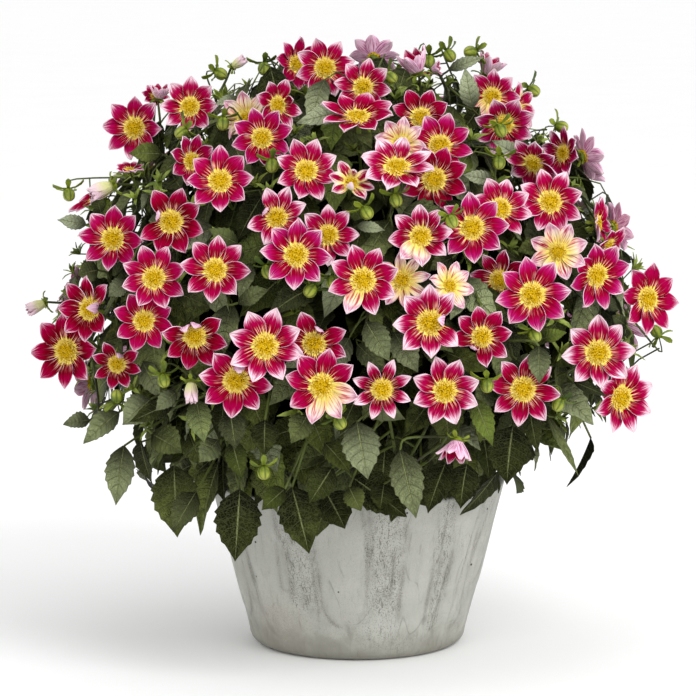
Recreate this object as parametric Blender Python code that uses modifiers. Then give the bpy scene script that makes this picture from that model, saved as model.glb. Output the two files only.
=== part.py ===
"""Potted single dahlia: a turned pot, the soil in it, and leafy stems that carry blooms, buds and leaves.

Metres, +Z up. The origin is the middle of the pot's flat foot, and -Y is the side that the viewer sees.
"""

import math
import random

import bmesh
import bpy
from mathutils import Matrix, Vector
from mathutils.bvhtree import BVHTree

# Pot: a tapered shell with a soft rim and a rounded foot
POT_HEIGHT = 0.175
RIM_RADIUS = 0.155
FOOT_RADIUS = 0.111
FOOT_ROUNDING = 0.014
WALL = 0.009
FLOOR = 0.014
RIM_ROUNDING = 0.0025
POT_STEPS = 32
FIT_GAP = 0.0003

# Soil: fills the pot to below the rim, with a plain hole for each stem
SOIL_TOP = 0.157
SOIL_RISE = 0.004
STEM_HOLE_DEPTH = 0.030
STEM_HOLE_RADIUS = 0.0055

# Crown of the plant, from which its stems spread
CROWN = Vector((0.0, 0.0, 0.205))
STEM_COUNT = 24
STEM_FOOT_RADIUS = 0.0038
STEM_TOP_RADIUS = 0.0027
STEM_REACH = 0.56
STEM_RISE = 0.40
STEM_NECK = 0.006
STEM_POINTS = 5
STEM_ROOM = 1.2
LOWEST_STEM = -0.10
FOOT_SPREAD = 0.088
RIM_CLEARANCE = 0.024
GOLDEN_ANGLE = math.pi * (3 - math.sqrt(5))

# Outer form of the plant: an ellipsoid on which the blooms lie
DOME_CENTRE = Vector((-0.006, 0.0, 0.335))
DOME_RADII = Vector((0.318, 0.285, 0.285))

# The viewer's eye, used to lay the front blooms, buds and leaves out as they are seen
EYE = Vector((-0.0099, -3.40, 0.76))
AIM = Vector((-0.0099, 0.0, 0.3124))
PICTURE_MIDDLE = 348
FOCAL_LENGTH = 3250

# Stalks: of flowers, and the thinner ones of buds and leaves, narrowed where they root in a stem
STALK_RADIUS = 0.0019
PETIOLE_RADIUS = 0.0014
STALK_SIDES = 3
STALK_STEPS = 3
BUD_STEPS = 2
PETIOLE_STEPS = 1
SHORT_STALK = 0.10
SHORTEST_STALK = 0.012
ROOT_TAPER = 0.6
KNEE = 0.010
CLEARANCE = 0.0004

# Where stalks can root, as shares of the length of a stem and of another stalk
STEM_NODES = [0.40 + 0.04 * k for k in range(15)]
STALK_NODES = [0.16 + 0.12 * k for k in range(6)]

# Choice of a way for a stalk: what each stalk already on a stem costs in metres, how many roots are
# tried, how far the way sways aside, and how much it leans on its ends
LOAD_COST = 0.003
ROOT_TRIES = 40
SWAYS = (0, 0.4, -0.4, 0.9, -0.9)
BEND_REACH = 0.4
SHARP_TURN = 0.15
STALK_LEAN = 0.5
KNEE_LEAN = 0.6
ROOT_LEAN = 0.6
STRAIGHTNESS = 0.8

# Extra depths in mm at which a head is tried in turn, and how many of them a back bloom gets
DEPTHS = (0, 3, -3, 6, -6, 10, -10, 15, -15, 20, -20, 27, -27, 35, -35, -45, -55)
BACK_DEPTHS = 9
BACK_SINK = 0.6

# Faces of a union closer to flat than this many degrees are made one
FLAT_ANGLE = 0.4

# Seen open blooms: column, row and radius in the picture, turn to the right and tilt up in degrees,
# spin of the petals in degrees, and place in front of the dome in mm
BLOOMS = [
    (325, 68, 31, 5, 12, 30, 4),
    (296, 64, 27, 38, 8, 10, -20),
    (190, 107, 30, -12, 18, 0, 0),
    (135, 128, 33, -18, 8, 0, 0),
    (155, 97, 14, 20, 40, 15, -18),
    (277, 105, 27, 34, 5, 20, -14),
    (247, 119, 28, -10, 12, 35, -22),
    (262, 138, 31, 0, 8, 30, 4),
    (220, 181, 35, 0, 18, -3, 6),
    (191, 161, 27, 32, 10, 20, -18),
    (306, 171, 33, 8, 14, 20, 0),
    (277, 218, 32, -5, 18, 22, -6),
    (328, 235, 31, 10, 12, 0, -16),
    (296, 255, 36, 0, 10, 4, 8),
    (171, 222, 35, 0, 14, 18, 2),
    (113, 239, 34, -12, 12, 2, 0),
    (154, 278, 33, 0, 12, 27, 4),
    (215, 270, 35, 0, 16, 4, 0),
    (90, 309, 34, -32, 8, -5, 0),
    (144, 321, 31, 0, 8, 17, 8),
    (195, 336, 34, -5, -6, 10, 0),
    (265, 346, 39, 5, 8, 18, 6),
    (314, 344, 35, 0, 16, 22, -10),
    (67, 351, 38, -28, 5, -5, 4),
    (117, 364, 26, 0, 0, 17, -4),
    (236, 380, 38, 5, -12, 10, 0),
    (322, 386, 38, -10, 5, 12, 6),
    (382, 389, 32, 0, 2, 20, 0),
    (445, 391, 35, 0, 8, 26, 0),
    (523, 389, 37, 3, 2, 8, 0),
    (620, 398, 38, 35, 0, 28, 0),
    (598, 353, 37, 5, 12, -2, 4),
    (482, 337, 31, -5, 10, -8, 0),
    (430, 323, 38, -5, 15, -3, 2),
    (532, 295, 38, 3, 8, -8, 6),
    (500, 280, 31, -15, 8, 8, -16),
    (363, 280, 37, 0, 10, 26, 4),
    (402, 280, 29, 5, 5, -8, -14),
    (449, 286, 26, 30, 18, 20, -10),
    (421, 237, 33, -8, 20, -6, 0),
    (472, 228, 36, 0, 12, -5, 6),
    (500, 209, 33, 15, 25, 20, -14),
    (550, 202, 34, 5, 15, 28, 4),
    (558, 252, 30, -5, 8, 25, -12),
    (596, 275, 35, 28, -5, 30, 0),
    (647, 299, 36, 35, 5, 10, 0),
    (597, 224, 28, 72, 5, 10, 0),
    (614, 227, 26, 122, 8, 25, 0),
    (607, 245, 24, 55, -25, 12, -20),
    (421, 118, 30, -5, 18, 18, -8),
    (440, 146, 34, 5, 28, 17, -2),
    (434, 179, 35, 8, 0, 22, 0),
    (401, 144, 27, -5, 18, 10, -16),
    (397, 168, 38, 0, 50, 15, 12),
    (351, 183, 24, 10, 30, 20, 0),
    (363, 87, 29, 3, 10, 10, 0),
    (357, 118, 38, 0, 62, 20, 8),
    (374, 58, 26, 165, 35, 0, -10),
    (492, 97, 28, 0, 10, 2, 6),
    (515, 108, 26, 45, 10, 12, -14),
    (503, 124, 32, 10, -20, 20, -12),
    (534, 163, 30, -30, -25, 20, 0),
    (564, 153, 27, -50, 5, 10, 0),
    (583, 156, 27, 120, 15, 0, 0),
    (130, 170, 15, 0, 72, 20, 0),
]

# Flowers still closed or half open: column and row of the base and of the tip in the picture, and
# place in front of the dome in mm
CLOSED_FLOWERS = [
    (47, 302, 26, 311, 0),
    (116, 184, 88, 196, 0),
    (231, 68, 246, 58, -4),
    (191, 379, 192, 404, 4),
    (458, 437, 453, 465, 8),
    (419, 76, 409, 48, 0),
    (430, 71, 444, 68, -10),
    (484, 77, 496, 53, -14),
    (158, 101, 162, 82, -10),
]

# Buds: column and row of the ball, column and row of the place above its bracts where its stalk
# bends away, and place in front of the dome in mm
BUDS = [
    (69, 195, 66, 176, 0),
    (264, 69, 264, 50, 0),
    (221, 74, 206, 66, 0),
    (272, 166, 272, 148, 0),
    (181, 133, 196, 122, 0),
    (223, 124, 223, 106, -6),
    (333, 283, 331, 266, -8),
    (268, 272, 264, 256, -8),
    (367, 213, 362, 204, -4),
    (452, 222, 446, 208, 14),
    (396, 201, 392, 184, -4),
    (429, 62, 430, 42, 4),
    (450, 56, 444, 46, 0),
    (391, 78, 378, 66, 0),
    (470, 52, 486, 50, -6),
    (534, 91, 522, 82, 0),
    (501, 131, 494, 112, 12),
    (499, 163, 500, 148, 0),
    (562, 127, 548, 124, 0),
    (656, 331, 664, 344, 0),
    (535, 336, 530, 324, 4),
    (487, 386, 487, 366, 0),
    (558, 405, 566, 390, 0),
    (340, 423, 332, 410, 6),
    (117, 396, 117, 410, 0),
    (164, 381, 160, 362, 0),
    (264, 473, 262, 452, 8),
    (310, 291, 318, 280, -10),
]

# Seen leaves: column and row of the base and of the tip, width in the picture, and place in front of
# the dome in mm
LEAVES = [
    (124, 446, 115, 505, 29, 0),
    (174, 466, 177, 537, 46, -16),
    (196, 492, 172, 531, 27, 6),
    (240, 490, 235, 561, 46, 0),
    (119, 412, 82, 442, 25, 0),
    (90, 420, 63, 423, 18, -14),
    (152, 434, 183, 451, 34, 0),
    (151, 399, 122, 424, 32, -6),
    (176, 392, 155, 410, 18, -6),
    (174, 402, 130, 421, 20, -14),
    (196, 399, 204, 443, 25, -6),
    (230, 411, 236, 449, 28, -4),
    (265, 420, 264, 456, 27, -8),
    (232, 441, 242, 479, 22, 2),
    (218, 440, 199, 462, 24, -18),
    (285, 489, 261, 509, 22, 8),
    (292, 487, 310, 553, 42, 0),
    (326, 492, 346, 528, 38, -12),
    (332, 468, 309, 503, 30, 4),
    (325, 443, 351, 471, 24, -6),
    (352, 477, 408, 515, 40, -8),
    (349, 487, 361, 511, 22, 6),
    (384, 484, 380, 510, 24, 2),
    (357, 422, 367, 479, 38, 0),
    (400, 450, 416, 518, 33, 4),
    (446, 462, 426, 512, 30, -6),
    (467, 464, 459, 508, 32, -2),
    (309, 413, 291, 443, 26, -8),
    (513, 426, 505, 484, 43, -6),
    (474, 398, 494, 445, 23, 4),
    (547, 416, 580, 475, 9, 0),
    (539, 346, 539, 383, 23, 12),
    (542, 339, 566, 331, 15, -4),
    (574, 382, 607, 395, 11, -8),
    (530, 412, 537, 452, 18, -10),
    (366, 322, 390, 361, 27, -2),
    (86, 225, 58, 218, 17, -12),
    (238, 244, 209, 228, 18, -12),
    (174, 292, 210, 306, 20, -16),
    (238, 303, 268, 288, 21, -16),
    (357, 226, 385, 229, 13, -12),
    (346, 111, 296, 121, 24, -14),
    (472, 109, 465, 68, 20, -8),
    (449, 70, 483, 56, 13, -6),
    (493, 181, 463, 174, 16, -12),
    (519, 158, 493, 139, 18, -14),
    (161, 154, 129, 152, 22, -16),
    (101, 213, 95, 190, 13, -8),
    (237, 97, 215, 104, 11, -8),
    (98, 270, 78, 274, 26, -14),
    (127, 282, 108, 296, 20, -16),
    (545, 244, 516, 250, 20, -16),
    (452, 258, 429, 269, 18, -16),
    (394, 332, 418, 372, 28, -12),
    (626, 325, 612, 315, 13, -8),
]

# Back of the plant and the leaves under the blooms, laid out by a rule: heights on the unit ball,
# shares of the dome's size, sizes in metres, angles in degrees or radians as drawn
BACK_SEED = 7
BACK_BLOOMS = 25
BACK_TURNS = 150
BACK_HEIGHTS = (-0.55, 0.97)
BACK_DEPTH = 0.97
BACK_START = 0.01
BACK_SPACING = 0.078
BACK_RADIUS = (0.031, 0.037)
BACK_SPIN = (0, 45)
BACK_LEAN = 0.3
BACK_LIFT = (0.0, 0.5)
INNER_LEAVES = 50
INNER_TRIES = 12
INNER_HEIGHTS = (-0.66, 0.90)
INNER_START = 1.0
INNER_DEPTH = (0.74, 0.92)
INNER_LENGTH = (0.048, 0.074)
INNER_WIDTH = (0.50, 0.62)
INNER_SWING = 1.2
INNER_LIFT = 0.3
INNER_BACK_GROWTH = 1.4

# Leaves that hang over the pot's rim, in a ring laid out by a rule: places and sizes in metres
SKIRT_LEAVES = 46
SKIRT_TRIES = 14
SKIRT_RADIUS = (0.166, 0.200)
SKIRT_BASE = (0.205, 0.255)
SKIRT_SPREAD = (0.05, 0.50)
SKIRT_SWING = 0.5
SKIRT_LENGTH = (0.055, 0.080)
SKIRT_LIFT = 0.4
SKIRT_HIGH_SIDE = math.radians(78)
SKIRT_RAISE = 0.050

# Form of a bloom: radius and height as shares of its radius, angles as shares of a petal's
PETALS = 8
DISC_RING = (0.35, 0.02)
DISC_TOP = 0.11
NOTCH = (0.48, 0.05)
SHOULDER = (0.71, 0.11)
SHOULDER_ANGLE = 0.36
PETAL_TIP = (1.0, 0.22)
CALYX = (0.085, -0.16)

# Form of a closed flower: radius and height as shares of its length, and its lean to the viewer
FOLDED_PETALS = 5
FOLDED_HUB = 0.62
FOLDED_TIP = (0.40, 1.0)
FOLDED_NOTCH = (0.30, 0.76)
FOLDED_CUP = (0.27, 0.22)
FOLDED_BASE = (0.11, -0.02)
FOLDED_LEAN = 0.25

# Form of a bud: radius and height as shares of its radius, and its lean to the viewer
BUD_RADIUS = 0.0066
BRACTS = 5
BUD_TOP = 2.0
BUD_BELLY = (0.98, 1.1)
BRACT_TIP = (1.9, 0.35)
BRACT_NOTCH = (0.62, 0.25)
BUD_BASE = (0.32, -0.15)
BUD_SEAT = 1.05
BUD_LEAN = 0.3

# Outline of one half of a leaf: share of the length, share of the half width
LEAF_EDGE = [(0.12, 0.66), (0.36, 1.00), (0.43, 0.86), (0.62, 0.80), (0.70, 0.56)]
SMALL_LEAF_EDGE = [(0.16, 0.76), (0.42, 1.00), (0.50, 0.82), (0.70, 0.58)]
SMALL_LEAF = 20
LEAF_MIDDLE = 0.42
LEAF_FOLD = 0.16
LEAF_DROOP = 0.10
LEAF_LEAN = 0.10
LEAF_TURN = 0.5
LEAF_THICKNESS = 0.0013


def picture_axes():
    """Forward, right and up of the viewer."""
    forward = (AIM - EYE).normalized()
    right = forward.cross(Vector((0, 0, 1))).normalized()
    return forward, right, right.cross(forward)


def seen_at(column, row, depth):
    """The point on the dome, or depth metres in front of it, seen at a place in the picture."""
    forward, right, up = picture_axes()
    ray = forward * FOCAL_LENGTH + right * (column - PICTURE_MIDDLE) + up * (PICTURE_MIDDLE - row)
    ray.normalize()
    shrink = Vector(1 / r for r in DOME_RADII)
    start = (EYE - DOME_CENTRE) * shrink
    step = ray * shrink
    a = step.dot(step)
    b = start.dot(step)
    root = max(b * b - a * (start.dot(start) - 1), 0)
    return EYE + ray * ((-b - math.sqrt(root)) / a - depth)


def real_size(pixels, point):
    """The real length of a stretch of the picture at a point."""
    return pixels * (point - EYE).length / FOCAL_LENGTH


def facing(turn, tilt):
    """Unit vector turned to the right of the viewer's side and tilted up, in degrees."""
    turn = math.radians(turn)
    tilt = math.radians(tilt)
    return Vector((math.sin(turn) * math.cos(tilt), -math.cos(turn) * math.cos(tilt), math.sin(tilt)))


def frame(point, forward, up):
    """Matrix whose Z looks along forward and whose Y leans towards up."""
    z = forward.normalized()
    x = up.cross(z)
    if x.length < 1e-4:
        x = Vector((1, 0, 0)).cross(z)
    x.normalize()
    turned = Matrix((x, z.cross(x), z)).transposed().to_4x4()
    return Matrix.Translation(point) @ turned


def ring(radius, height, angles):
    return [Vector((radius * math.sin(a), radius * math.cos(a), height)) for a in angles]


def even_angles(count, start=0.0):
    return [start + math.tau * i / count for i in range(count)]


class Solid:
    """A closed mesh under construction."""

    def __init__(self):
        self.points = []
        self.faces = []

    def add(self, points):
        first = len(self.points)
        self.points += points
        return list(range(first, len(self.points)))

    def fan(self, rim, hub):
        for i in range(len(rim)):
            self.faces.append((rim[i - 1], rim[i], hub))

    def bridge(self, many, few):
        """Triangles between two closed rings that start at the same angle and run the same way."""
        i, j = 0, 0
        while i < len(many) or j < len(few):
            step_many = (i + 0.5) / len(many) <= (j + 0.5) / len(few)
            a, b = many[i % len(many)], few[j % len(few)]
            if step_many and i < len(many) or j == len(few):
                i += 1
                self.faces.append((a, many[i % len(many)], b))
            else:
                j += 1
                self.faces.append((a, few[j % len(few)], b))

    def cap(self, rim):
        for i in range(1, len(rim) - 1):
            self.faces.append((rim[0], rim[i], rim[i + 1]))

    def tree(self, faces=None):
        return BVHTree.FromPolygons(self.points, self.faces if faces is None else faces, epsilon=CLEARANCE)


def tube(solid, path, radius, axes, start_ring=None, spin=0.0, root=1.0):
    """Carries a ring back from a head, whose Z looks away from the path, to a closed end."""
    angles = even_angles(STALK_SIDES, spin)
    previous = start_ring
    if previous is None:
        previous = solid.add([path[0] + axes @ p for p in ring(radius, 0, angles)])
    last = len(path) - 1
    for k in range(1, last + 1):
        if k < last or last == 1:
            ahead = path[min(k + 1, last)] - path[k - 1]
            axes = axes.col[2].rotation_difference(-ahead).to_matrix() @ axes
        here = solid.add([path[k] + axes @ p for p in ring(radius * (root if k == last else 1), 0, angles)])
        for i in range(STALK_SIDES):
            solid.faces.append((previous[i - 1], previous[i], here[i]))
            solid.faces.append((previous[i - 1], here[i], here[i - 1]))
        previous = here
    solid.cap(previous)


def bend(start, start_way, end, end_way, steps):
    """Points of a smooth curve from start to end, leaving and arriving along the ways given."""
    reach = (end - start).length * BEND_REACH
    a = start + start_way.normalized() * reach
    b = end - end_way.normalized() * reach
    points = []
    for k in range(steps + 1):
        t = k / steps
        s = 1 - t
        points.append(start * s**3 + a * (3 * s * s * t) + b * (3 * s * t * t) + end * t**3)
    return points


def bloom_head(radius, spin):
    """A disc in a star of pointed petals, open at the calyx; Z is the way that it faces."""
    solid = Solid()
    half = math.pi / PETALS
    start = math.radians(spin) - half
    notches = even_angles(PETALS, start)
    top = solid.add([Vector((0, 0, DISC_TOP * radius))])[0]
    disc = solid.add(ring(DISC_RING[0] * radius, DISC_RING[1] * radius, notches))
    solid.fan(disc, top)
    outline = []
    lean = SHOULDER_ANGLE * 2 * half
    for angle in notches:
        middle = angle + half
        outline += ring(NOTCH[0] * radius, NOTCH[1] * radius, [angle])
        outline += ring(SHOULDER[0] * radius, SHOULDER[1] * radius, [middle - lean])
        outline += ring(PETAL_TIP[0] * radius, PETAL_TIP[1] * radius, [middle])
        outline += ring(SHOULDER[0] * radius, SHOULDER[1] * radius, [middle + lean])
    rim = solid.add(outline)
    solid.bridge(rim, disc)
    calyx = solid.add(ring(CALYX[0] * radius, CALYX[1] * radius, even_angles(STALK_SIDES, start)))
    solid.bridge(rim, calyx)
    return solid, calyx, start


def closed_head(length):
    """Petals still folded together, open at the calyx; Z is the way that it points."""
    solid = Solid()
    angles = even_angles(FOLDED_PETALS)
    half = math.pi / FOLDED_PETALS
    hub = solid.add([Vector((0, 0, FOLDED_HUB * length))])[0]
    tips = []
    for angle in angles:
        tips += ring(FOLDED_TIP[0] * length, FOLDED_TIP[1] * length, [angle])
        tips += ring(FOLDED_NOTCH[0] * length, FOLDED_NOTCH[1] * length, [angle + half])
    rim = solid.add(tips)
    solid.fan(rim, hub)
    cup = solid.add(ring(FOLDED_CUP[0] * length, FOLDED_CUP[1] * length, angles))
    solid.bridge(rim, cup)
    base = solid.add(ring(FOLDED_BASE[0] * length, FOLDED_BASE[1] * length, even_angles(STALK_SIDES)))
    solid.bridge(cup, base)
    return solid, base


def bud_head(radius):
    """A ball with bracts spread under it, open at the base; Z is the way that it points."""
    solid = Solid()
    angles = even_angles(BRACTS)
    half = math.pi / BRACTS
    hub = solid.add([Vector((0, 0, BUD_TOP * radius))])[0]
    belly = solid.add(ring(BUD_BELLY[0] * radius, BUD_BELLY[1] * radius, angles))
    solid.fan(belly, hub)
    star = []
    for angle in angles:
        star += ring(BRACT_TIP[0] * radius, BRACT_TIP[1] * radius, [angle])
        star += ring(BRACT_NOTCH[0] * radius, BRACT_NOTCH[1] * radius, [angle + half])
    rim = solid.add(star)
    solid.bridge(rim, belly)
    base = solid.add(ring(BUD_BASE[0] * radius, BUD_BASE[1] * radius, even_angles(STALK_SIDES)))
    solid.bridge(rim, base)
    return solid, base


def leaf_blade(length, width, edge_points=LEAF_EDGE):
    """A toothed blade along Z, its upper face towards +Y, open where its stalk joins."""
    solid = Solid()

    def place(share, side, lift):
        drop = LEAF_DROOP * length * share * share
        fold = LEAF_FOLD * abs(side) * width / 2
        return Vector((side * width / 2, fold + lift - drop, share * length))

    thick = LEAF_THICKNESS / 2
    base = solid.add(ring(PETIOLE_RADIUS, 0, even_angles(STALK_SIDES, math.pi)))
    right = [place(v, w, 0) for v, w in edge_points]
    left = [place(v, -w, 0) for v, w in reversed(edge_points)]
    edge = solid.add(right + [place(1, 0, 0)] + left)
    upper = solid.add([place(LEAF_MIDDLE, 0, thick)])[0]
    lower = solid.add([place(LEAF_MIDDLE, 0, -thick)])[0]
    solid.fan([base[1], base[2]] + edge, upper)
    solid.fan([base[1], base[0], base[2]] + edge, lower)
    return solid, base, math.pi


class Piece:
    """A head or a blade with its stalk, and what it takes to test it against others."""

    def __init__(self, kind, shape, place, stalk_radius):
        solid, self.base = shape[:2]
        self.spin = shape[2] if len(shape) > 2 else 0.0
        self.kind = kind
        self.solid = solid
        self.place = place
        self.stalk_radius = stalk_radius
        solid.points = [place @ p for p in solid.points]
        self.box = bounds_of(solid.points)
        self.head = solid.tree()
        self.stalk = None
        self.path = None
        self.stem = None


def bounds_of(points):
    low = Vector(min(p[i] for p in points) - CLEARANCE for i in range(3))
    high = Vector(max(p[i] for p in points) + CLEARANCE for i in range(3))
    return low, high


def apart(box, other):
    return any(box[0][i] > other[1][i] or other[0][i] > box[1][i] for i in range(3))


def crosses(tree, box, other_tree, other_box):
    return not apart(box, other_box) and bool(tree.overlap(other_tree))


def turned_tree(profile, steps=24):
    """Collision mesh of a turned shape, from its profile of radius and height."""
    points = []
    faces = []
    for radius, height in profile:
        points += [Vector((radius * math.cos(a), radius * math.sin(a), height)) for a in even_angles(steps)]
    for row in range(len(profile) - 1):
        for i in range(steps):
            a, b = row * steps + i, row * steps + (i + 1) % steps
            faces.append((a, b, b + steps, a + steps))
    return BVHTree.FromPolygons(points, faces, epsilon=0.002), bounds_of(points)


def pot_profile():
    """Outer side from the rim down, the flat foot, then the inner side up: radius and height."""
    slope = (RIM_RADIUS - FOOT_RADIUS) / POT_HEIGHT
    outer = [(RIM_RADIUS - RIM_ROUNDING, POT_HEIGHT), (RIM_RADIUS, POT_HEIGHT - RIM_ROUNDING)]
    outer.append((RIM_RADIUS - slope * POT_HEIGHT / 2, POT_HEIGHT / 2))
    corner = FOOT_RADIUS + slope * FOOT_ROUNDING
    for k in range(4):
        turn = math.radians(90 * k / 3)
        radius = corner - FOOT_ROUNDING * (1 - math.cos(turn))
        outer.append((radius, FOOT_ROUNDING * (1 - math.sin(turn))))
    inner = [(0, 0), (0, FLOOR), (inner_radius(FLOOR), FLOOR)]
    inner.append((inner_radius(POT_HEIGHT - RIM_ROUNDING), POT_HEIGHT - RIM_ROUNDING))
    inner.append((RIM_RADIUS - WALL + RIM_ROUNDING, POT_HEIGHT))
    return outer + inner


def inner_radius(height):
    """Radius of the pot's inner side at a height."""
    return FOOT_RADIUS - WALL + (RIM_RADIUS - FOOT_RADIUS) * height / POT_HEIGHT


def stem_ways():
    """Directions from the crown, spread evenly over the upper half and a little below it."""
    return list(spiral(STEM_COUNT, LOWEST_STEM, 1))


def stem_path(way):
    """From the foot in its hole, up and over the rim, to the middle of the stem's part of the dome."""
    flat = Vector((way.x, way.y, 0))
    foot = flat * FOOT_SPREAD
    foot.z = SOIL_TOP - STEM_HOLE_DEPTH + FIT_GAP
    out = CROWN + Vector((way.x * DOME_RADII.x, way.y * DOME_RADII.y, way.z * STEM_RISE)) * STEM_REACH
    out.z = max(out.z, POT_HEIGHT + RIM_CLEARANCE)
    neck = foot.copy()
    neck.z = SOIL_TOP + SOIL_RISE + STEM_NECK
    rise = bend(neck, Vector((0, 0, 1)), out, way + Vector((0, 0, 0.1)), STEM_POINTS - 2)
    return [foot] + rise


def along(path, share):
    """Point and way at a share of a path's length."""
    whole = sum((b - a).length for a, b in zip(path, path[1:]))
    left = share * whole
    for a, b in zip(path, path[1:]):
        step = (b - a).length
        if left <= step:
            return a.lerp(b, left / step), (b - a).normalized()
        left -= step
    return path[-1], (path[-1] - path[-2]).normalized()


class Plant:
    """Everything that grows, laid out so that no two stems touch."""

    def __init__(self):
        self.stems = [stem_path(way) for way in stem_ways()]
        self.stem_trees = []
        for path in self.stems:
            solid = Solid()
            axes = frame(path[0], Vector((0, 0, -1)), Vector((0, 1, 0))).to_3x3()
            tube(solid, path, STEM_FOOT_RADIUS * STEM_ROOM, axes)
            self.stem_trees.append((solid.tree(), bounds_of(solid.points)))
        self.pieces = []
        self.fixed = [turned_tree(pot_profile()), turned_tree([(0, SOIL_TOP), (RIM_RADIUS - WALL, SOIL_TOP)])]
        self.taken = set()

    def head_is_clear(self, piece):
        for tree, box in self.fixed + self.stem_trees:
            if crosses(piece.head, piece.box, tree, box):
                return False
        for other in self.pieces:
            if crosses(piece.head, piece.box, other.head, other.box):
                return False
            if crosses(piece.head, piece.box, *other.stalk):
                return False
        return True

    def stalk_is_clear(self, piece, tree, box, stem, carrier):
        for fixed_tree, fixed_box in self.fixed:
            if crosses(tree, box, fixed_tree, fixed_box):
                return False
        for number, (stem_tree, stem_box) in enumerate(self.stem_trees):
            if number != stem and crosses(tree, box, stem_tree, stem_box):
                return False
        for other in self.pieces:
            if crosses(tree, box, other.head, other.box):
                return False
            if other is not carrier and crosses(tree, box, *other.stalk):
                return False
        return True

    def anchors(self, piece, from_stalks):
        """Places on stems, and on their stalks for a leaf, where a stalk can start, nearest first."""
        base = piece.place.translation
        load = [sum(other.stem == number for other in self.pieces) for number in range(STEM_COUNT)]
        found = []
        for number, path in enumerate(self.stems):
            for share in STEM_NODES:
                point, way = along(path, share)
                found.append(((point - base).length + load[number] * LOAD_COST, number, point, way, None))
        if from_stalks:
            for other in self.pieces:
                if other.stalk_radius == STALK_RADIUS:
                    for share in STALK_NODES:
                        point, way = along(other.path, share)
                        found.append(((point - base).length, other.stem, point, -way, other))
        free = [f for f in found if tuple(f[2]) not in self.taken]
        return sorted((f for f in free if (f[2] - base).length > SHORTEST_STALK), key=lambda f: f[0])

    def route(self, piece, steps, from_stalks=False):
        """Finds a clear way for the piece's stalk, and closes its mesh with it."""
        start = piece.place.translation
        back = -piece.place.col[2].to_3d()
        for _, stem, point, way, carrier in self.anchors(piece, from_stalks)[:ROOT_TRIES]:
            straight = point - start
            bends = steps - 1 if steps == STALK_STEPS and straight.length < SHORT_STALK else steps
            side = straight.cross(way + back * STALK_LEAN)
            side = side.normalized() if side.length > 1e-5 else Vector((1, 0, 0))
            for sway in SWAYS:
                arrive = straight.normalized() * STRAIGHTNESS - way * ROOT_LEAN + side * sway
                if back.dot(straight) < SHARP_TURN * straight.length:
                    across = straight - back * straight.dot(back)
                    knee = start + back * KNEE + (across.normalized() + side * sway * KNEE_LEAN) * KNEE
                    leave = across - back * across.length * KNEE_LEAN
                    path = [start] + bend(knee, leave, point, arrive, max(bends - 1, 1))
                else:
                    path = bend(start, back + side * sway * STALK_LEAN, point, arrive, bends)
                if self.accept(piece, path, stem, carrier):
                    self.taken.add(tuple(point))
                    return True
        return False

    def accept(self, piece, path, stem, carrier):
        """Keeps the path if its tube is clear of everything but its own stem and stalks."""
        solid = piece.solid
        points, faces = len(solid.points), len(solid.faces)
        tube(solid, path, piece.stalk_radius, piece.place.to_3x3(), piece.base, piece.spin, ROOT_TAPER)
        tree = solid.tree(solid.faces[faces:])
        box = bounds_of(path + solid.points[points:])
        later = solid.tree(solid.faces[faces + 2 * STALK_SIDES:])
        if not later.overlap(piece.head) and self.stalk_is_clear(piece, tree, box, stem, carrier):
            piece.stalk = (tree, box)
            piece.path = path
            piece.stem = stem
            return True
        del solid.points[points:]
        del solid.faces[faces:]
        return False

    def grow(self, make, depths, steps, from_stalks=False):
        """Sets a head and routes its stalk, going on to the next depth where no way is clear."""
        for depth in depths:
            piece = make(depth / 1000)
            if self.head_is_clear(piece) and self.route(piece, steps, from_stalks):
                self.pieces.append(piece)
                return True
        return False


def bloom_piece(place, radius, spin):
    return Piece("bloom", bloom_head(radius, spin), place, STALK_RADIUS)


def seen_bloom(column, row, radius, turn, tilt, spin, depth):
    def make(extra):
        point = seen_at(column, row, depth / 1000 + extra)
        place = frame(point, facing(turn, tilt), Vector((0, 0, 1)))
        return bloom_piece(place, real_size(radius, point), spin)

    return make


def in_picture(columns, rows):
    """Real direction of a step across the picture."""
    _, right, up = picture_axes()
    return (right * columns - up * rows).normalized()


def seen_closed(column, row, tip_column, tip_row, depth):
    def make(extra):
        base = seen_at(column, row, depth / 1000 + extra)
        pixels = math.hypot(tip_column - column, tip_row - row)
        way = in_picture(tip_column - column, tip_row - row) - picture_axes()[0] * FOLDED_LEAN
        shape = closed_head(real_size(pixels, base))
        return Piece("closed", shape, frame(base, way, Vector((0, 0, 1))), STALK_RADIUS)

    return make


def seen_bud(column, row, bract_column, bract_row, depth):
    def make(extra):
        ball = seen_at(column, row, depth / 1000 + extra)
        way = in_picture(column - bract_column, row - bract_row) - picture_axes()[0] * BUD_LEAN
        place = frame(ball - way.normalized() * BUD_RADIUS * BUD_SEAT, way, Vector((0, 0, 1)))
        return Piece("bud", bud_head(BUD_RADIUS), place, PETIOLE_RADIUS)

    return make


def seen_leaf(column, row, tip_column, tip_row, width, depth):
    def make(extra):
        forward = picture_axes()[0]
        base = seen_at(column, row, depth / 1000 + extra)
        ray = seen_at(tip_column, tip_row, 0) - EYE
        tip = EYE + ray * ((base - EYE).dot(forward) / ray.dot(forward))
        tip -= forward * (tip - base).length * LEAF_LEAN
        edge = LEAF_EDGE if width >= SMALL_LEAF else SMALL_LEAF_EDGE
        shape = leaf_blade((tip - base).length, real_size(width, base), edge)
        upper_side = Vector((0, 0, LEAF_TURN)) - forward
        return Piece("leaf", shape, frame(base, tip - base, upper_side), PETIOLE_RADIUS)

    return make


def dome_point(way, scale):
    """Where a direction from the dome's middle meets the dome, and its outward normal there."""
    flat = Vector(w / r for w, r in zip(way, DOME_RADII))
    point = way / flat.length
    normal = Vector(p / (r * r) for p, r in zip(point, DOME_RADII)).normalized()
    return DOME_CENTRE + point * scale, normal


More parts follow.
